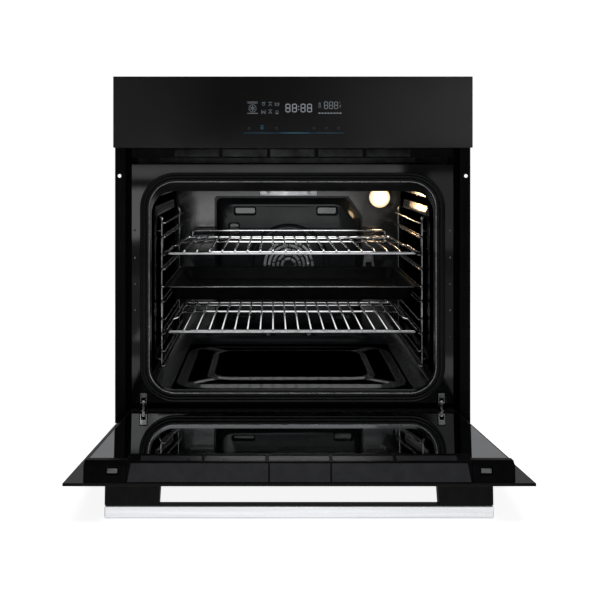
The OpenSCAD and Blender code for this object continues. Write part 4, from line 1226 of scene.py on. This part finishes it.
def studio():
    """Pale floor that curves up into a backdrop."""
    bm = bmesh.new()
    half = 6.0
    bend = 1.0
    front, back, top = -5.0, 4.0, 5.0
    sunk = 0.3 * MM
    profile = [(front, 0.0), (back - bend, 0.0)]
    profile += [(back - bend + bend * math.sin(math.radians(t)),
                 bend - bend * math.cos(math.radians(t))) for t in range(10, 91, 10)]
    profile.append((back, top))
    rows = [[bm.verts.new((x, y, z - sunk)) for y, z in profile] for x in (-half, half)]
    for i in range(len(profile) - 1):
        bm.faces.new((rows[0][i], rows[1][i], rows[1][i + 1], rows[0][i + 1]))
    mesh = bpy.data.meshes.new("studio_floor")
    bm.to_mesh(mesh)
    bm.free()
    mesh.materials.append(stage_material())
    floor = bpy.data.objects.new("studio_floor", mesh)
    bpy.context.scene.collection.objects.link(floor)


def softbox(name, place, target, size, power):
    """A rectangular lamp that shines from a place towards a target."""
    light = bpy.data.lights.new(name, "AREA")
    light.shape = "RECTANGLE"
    light.size, light.size_y = size
    light.energy = power
    made = bpy.data.objects.new(name, light)
    made.location = place
    made.rotation_euler = (Vector(target) - Vector(place)).to_track_quat("-Z", "Y").to_euler()
    bpy.context.scene.collection.objects.link(made)


studio()
world = bpy.data.worlds.new("studio_world")
bpy.context.scene.world = world
world.use_nodes = True
world.node_tree.nodes["Background"].inputs["Color"].default_value = (1, 1, 1, 1)
brighter_for_camera(world.node_tree, world.node_tree.nodes["Background"].inputs["Strength"],
                    SEEN_WORLD, MIRRORED_WORLD)

# Light on the whole oven, then light inside the cavity, then light from the floor in front
softbox("top_light", (0, -0.5, 2.6), (0, 0, 0.3), (2.4, 1.8), 26)
softbox("side_light", (2.3, -0.9, 1.3), (0, 0, 0.3), (0.9, 1.8), 4)
softbox("oven_light", (0, 0.2, 0.398), (0, 0.2, 0), (0.3, 0.26), 1.1)
softbox("muffle_light", (0, 0.22, 0.192), (0, 0.22, 0), (0.36, 0.28), 0.4)
softbox("mouth_light", (0, -0.3, 0.11), (0, 0, 0.11), (0.5, 0.05), 0.12)
softbox("floor_light", (0, -1.5, 0.01), (0, -1.5, 1), (0.76, 1.4), 4)


FRONT_LIGHTS_Y = -2.3


def front_light(name, x, z, width, height, radiance):
    """A softbox behind the camera, which the front of the oven mirrors."""
    softbox(name, (x, FRONT_LIGHTS_Y, z), (x, 0, z), (width, height),
            radiance * math.pi * width * height)


front_light("cavity_light", -0.07, 0.175, 0.86, 0.23, 2.9)
front_light("corner_light", -0.38, 0.175, 0.24, 0.23, 0.5)
front_light("frame_light_left", -0.575, 0.24, 0.13, 0.2, 2.4)
front_light("frame_light_right", 0.64, 0.25, 0.13, 0.3, 0.5)
front_light("frame_light_top", -0.08, 0.405, 1.1, 0.055, 1.4)

# The control panel mirrors these strips: its right half is brighter, its left end a little
PANEL_LIGHT_Z = 0.64
STRIP_W, STRIP_H = 0.1, 0.34
RIGHT_STRIPS, LEFT_STRIPS = 8, 4
for k in range(RIGHT_STRIPS):
    front_light(f"panel_light_{k}", 0.09 + STRIP_W * k, PANEL_LIGHT_Z, STRIP_W, STRIP_H,
                0.85 * ((k + 1) / RIGHT_STRIPS) ** 1.3)
for k in range(LEFT_STRIPS):
    front_light(f"panel_light_left_{k}", -0.65 + STRIP_W * k, PANEL_LIGHT_Z, STRIP_W, STRIP_H,
                0.28 - 0.06 * k)

glow = bpy.data.lights.new("lamp_light", "POINT")
glow.energy = 0.14
glow.color = (1.0, 0.72, 0.4)
glow.shadow_soft_size = 0.01
glow_object = bpy.data.objects.new("lamp_light", glow)
glow_object.location = lamp_spot
bpy.context.scene.collection.objects.link(glow_object)

# The camera looks straight ahead from above the cavity, with its picture shifted down
CAMERA_PLACE = (-0.033, -1.755, 0.4617)
CAMERA_SHIFT = (0.045, -0.2383333)
camera = bpy.data.cameras.new("camera")
camera.lens = 62.86
camera.shift_x, camera.shift_y = CAMERA_SHIFT
camera.clip_start = 0.01
camera.clip_end = 50
camera_object = bpy.data.objects.new("camera", camera)
camera_object.location = CAMERA_PLACE
camera_object.rotation_euler = (math.radians(90), 0, 0)
bpy.context.scene.collection.objects.link(camera_object)
bpy.context.scene.camera = camera_object
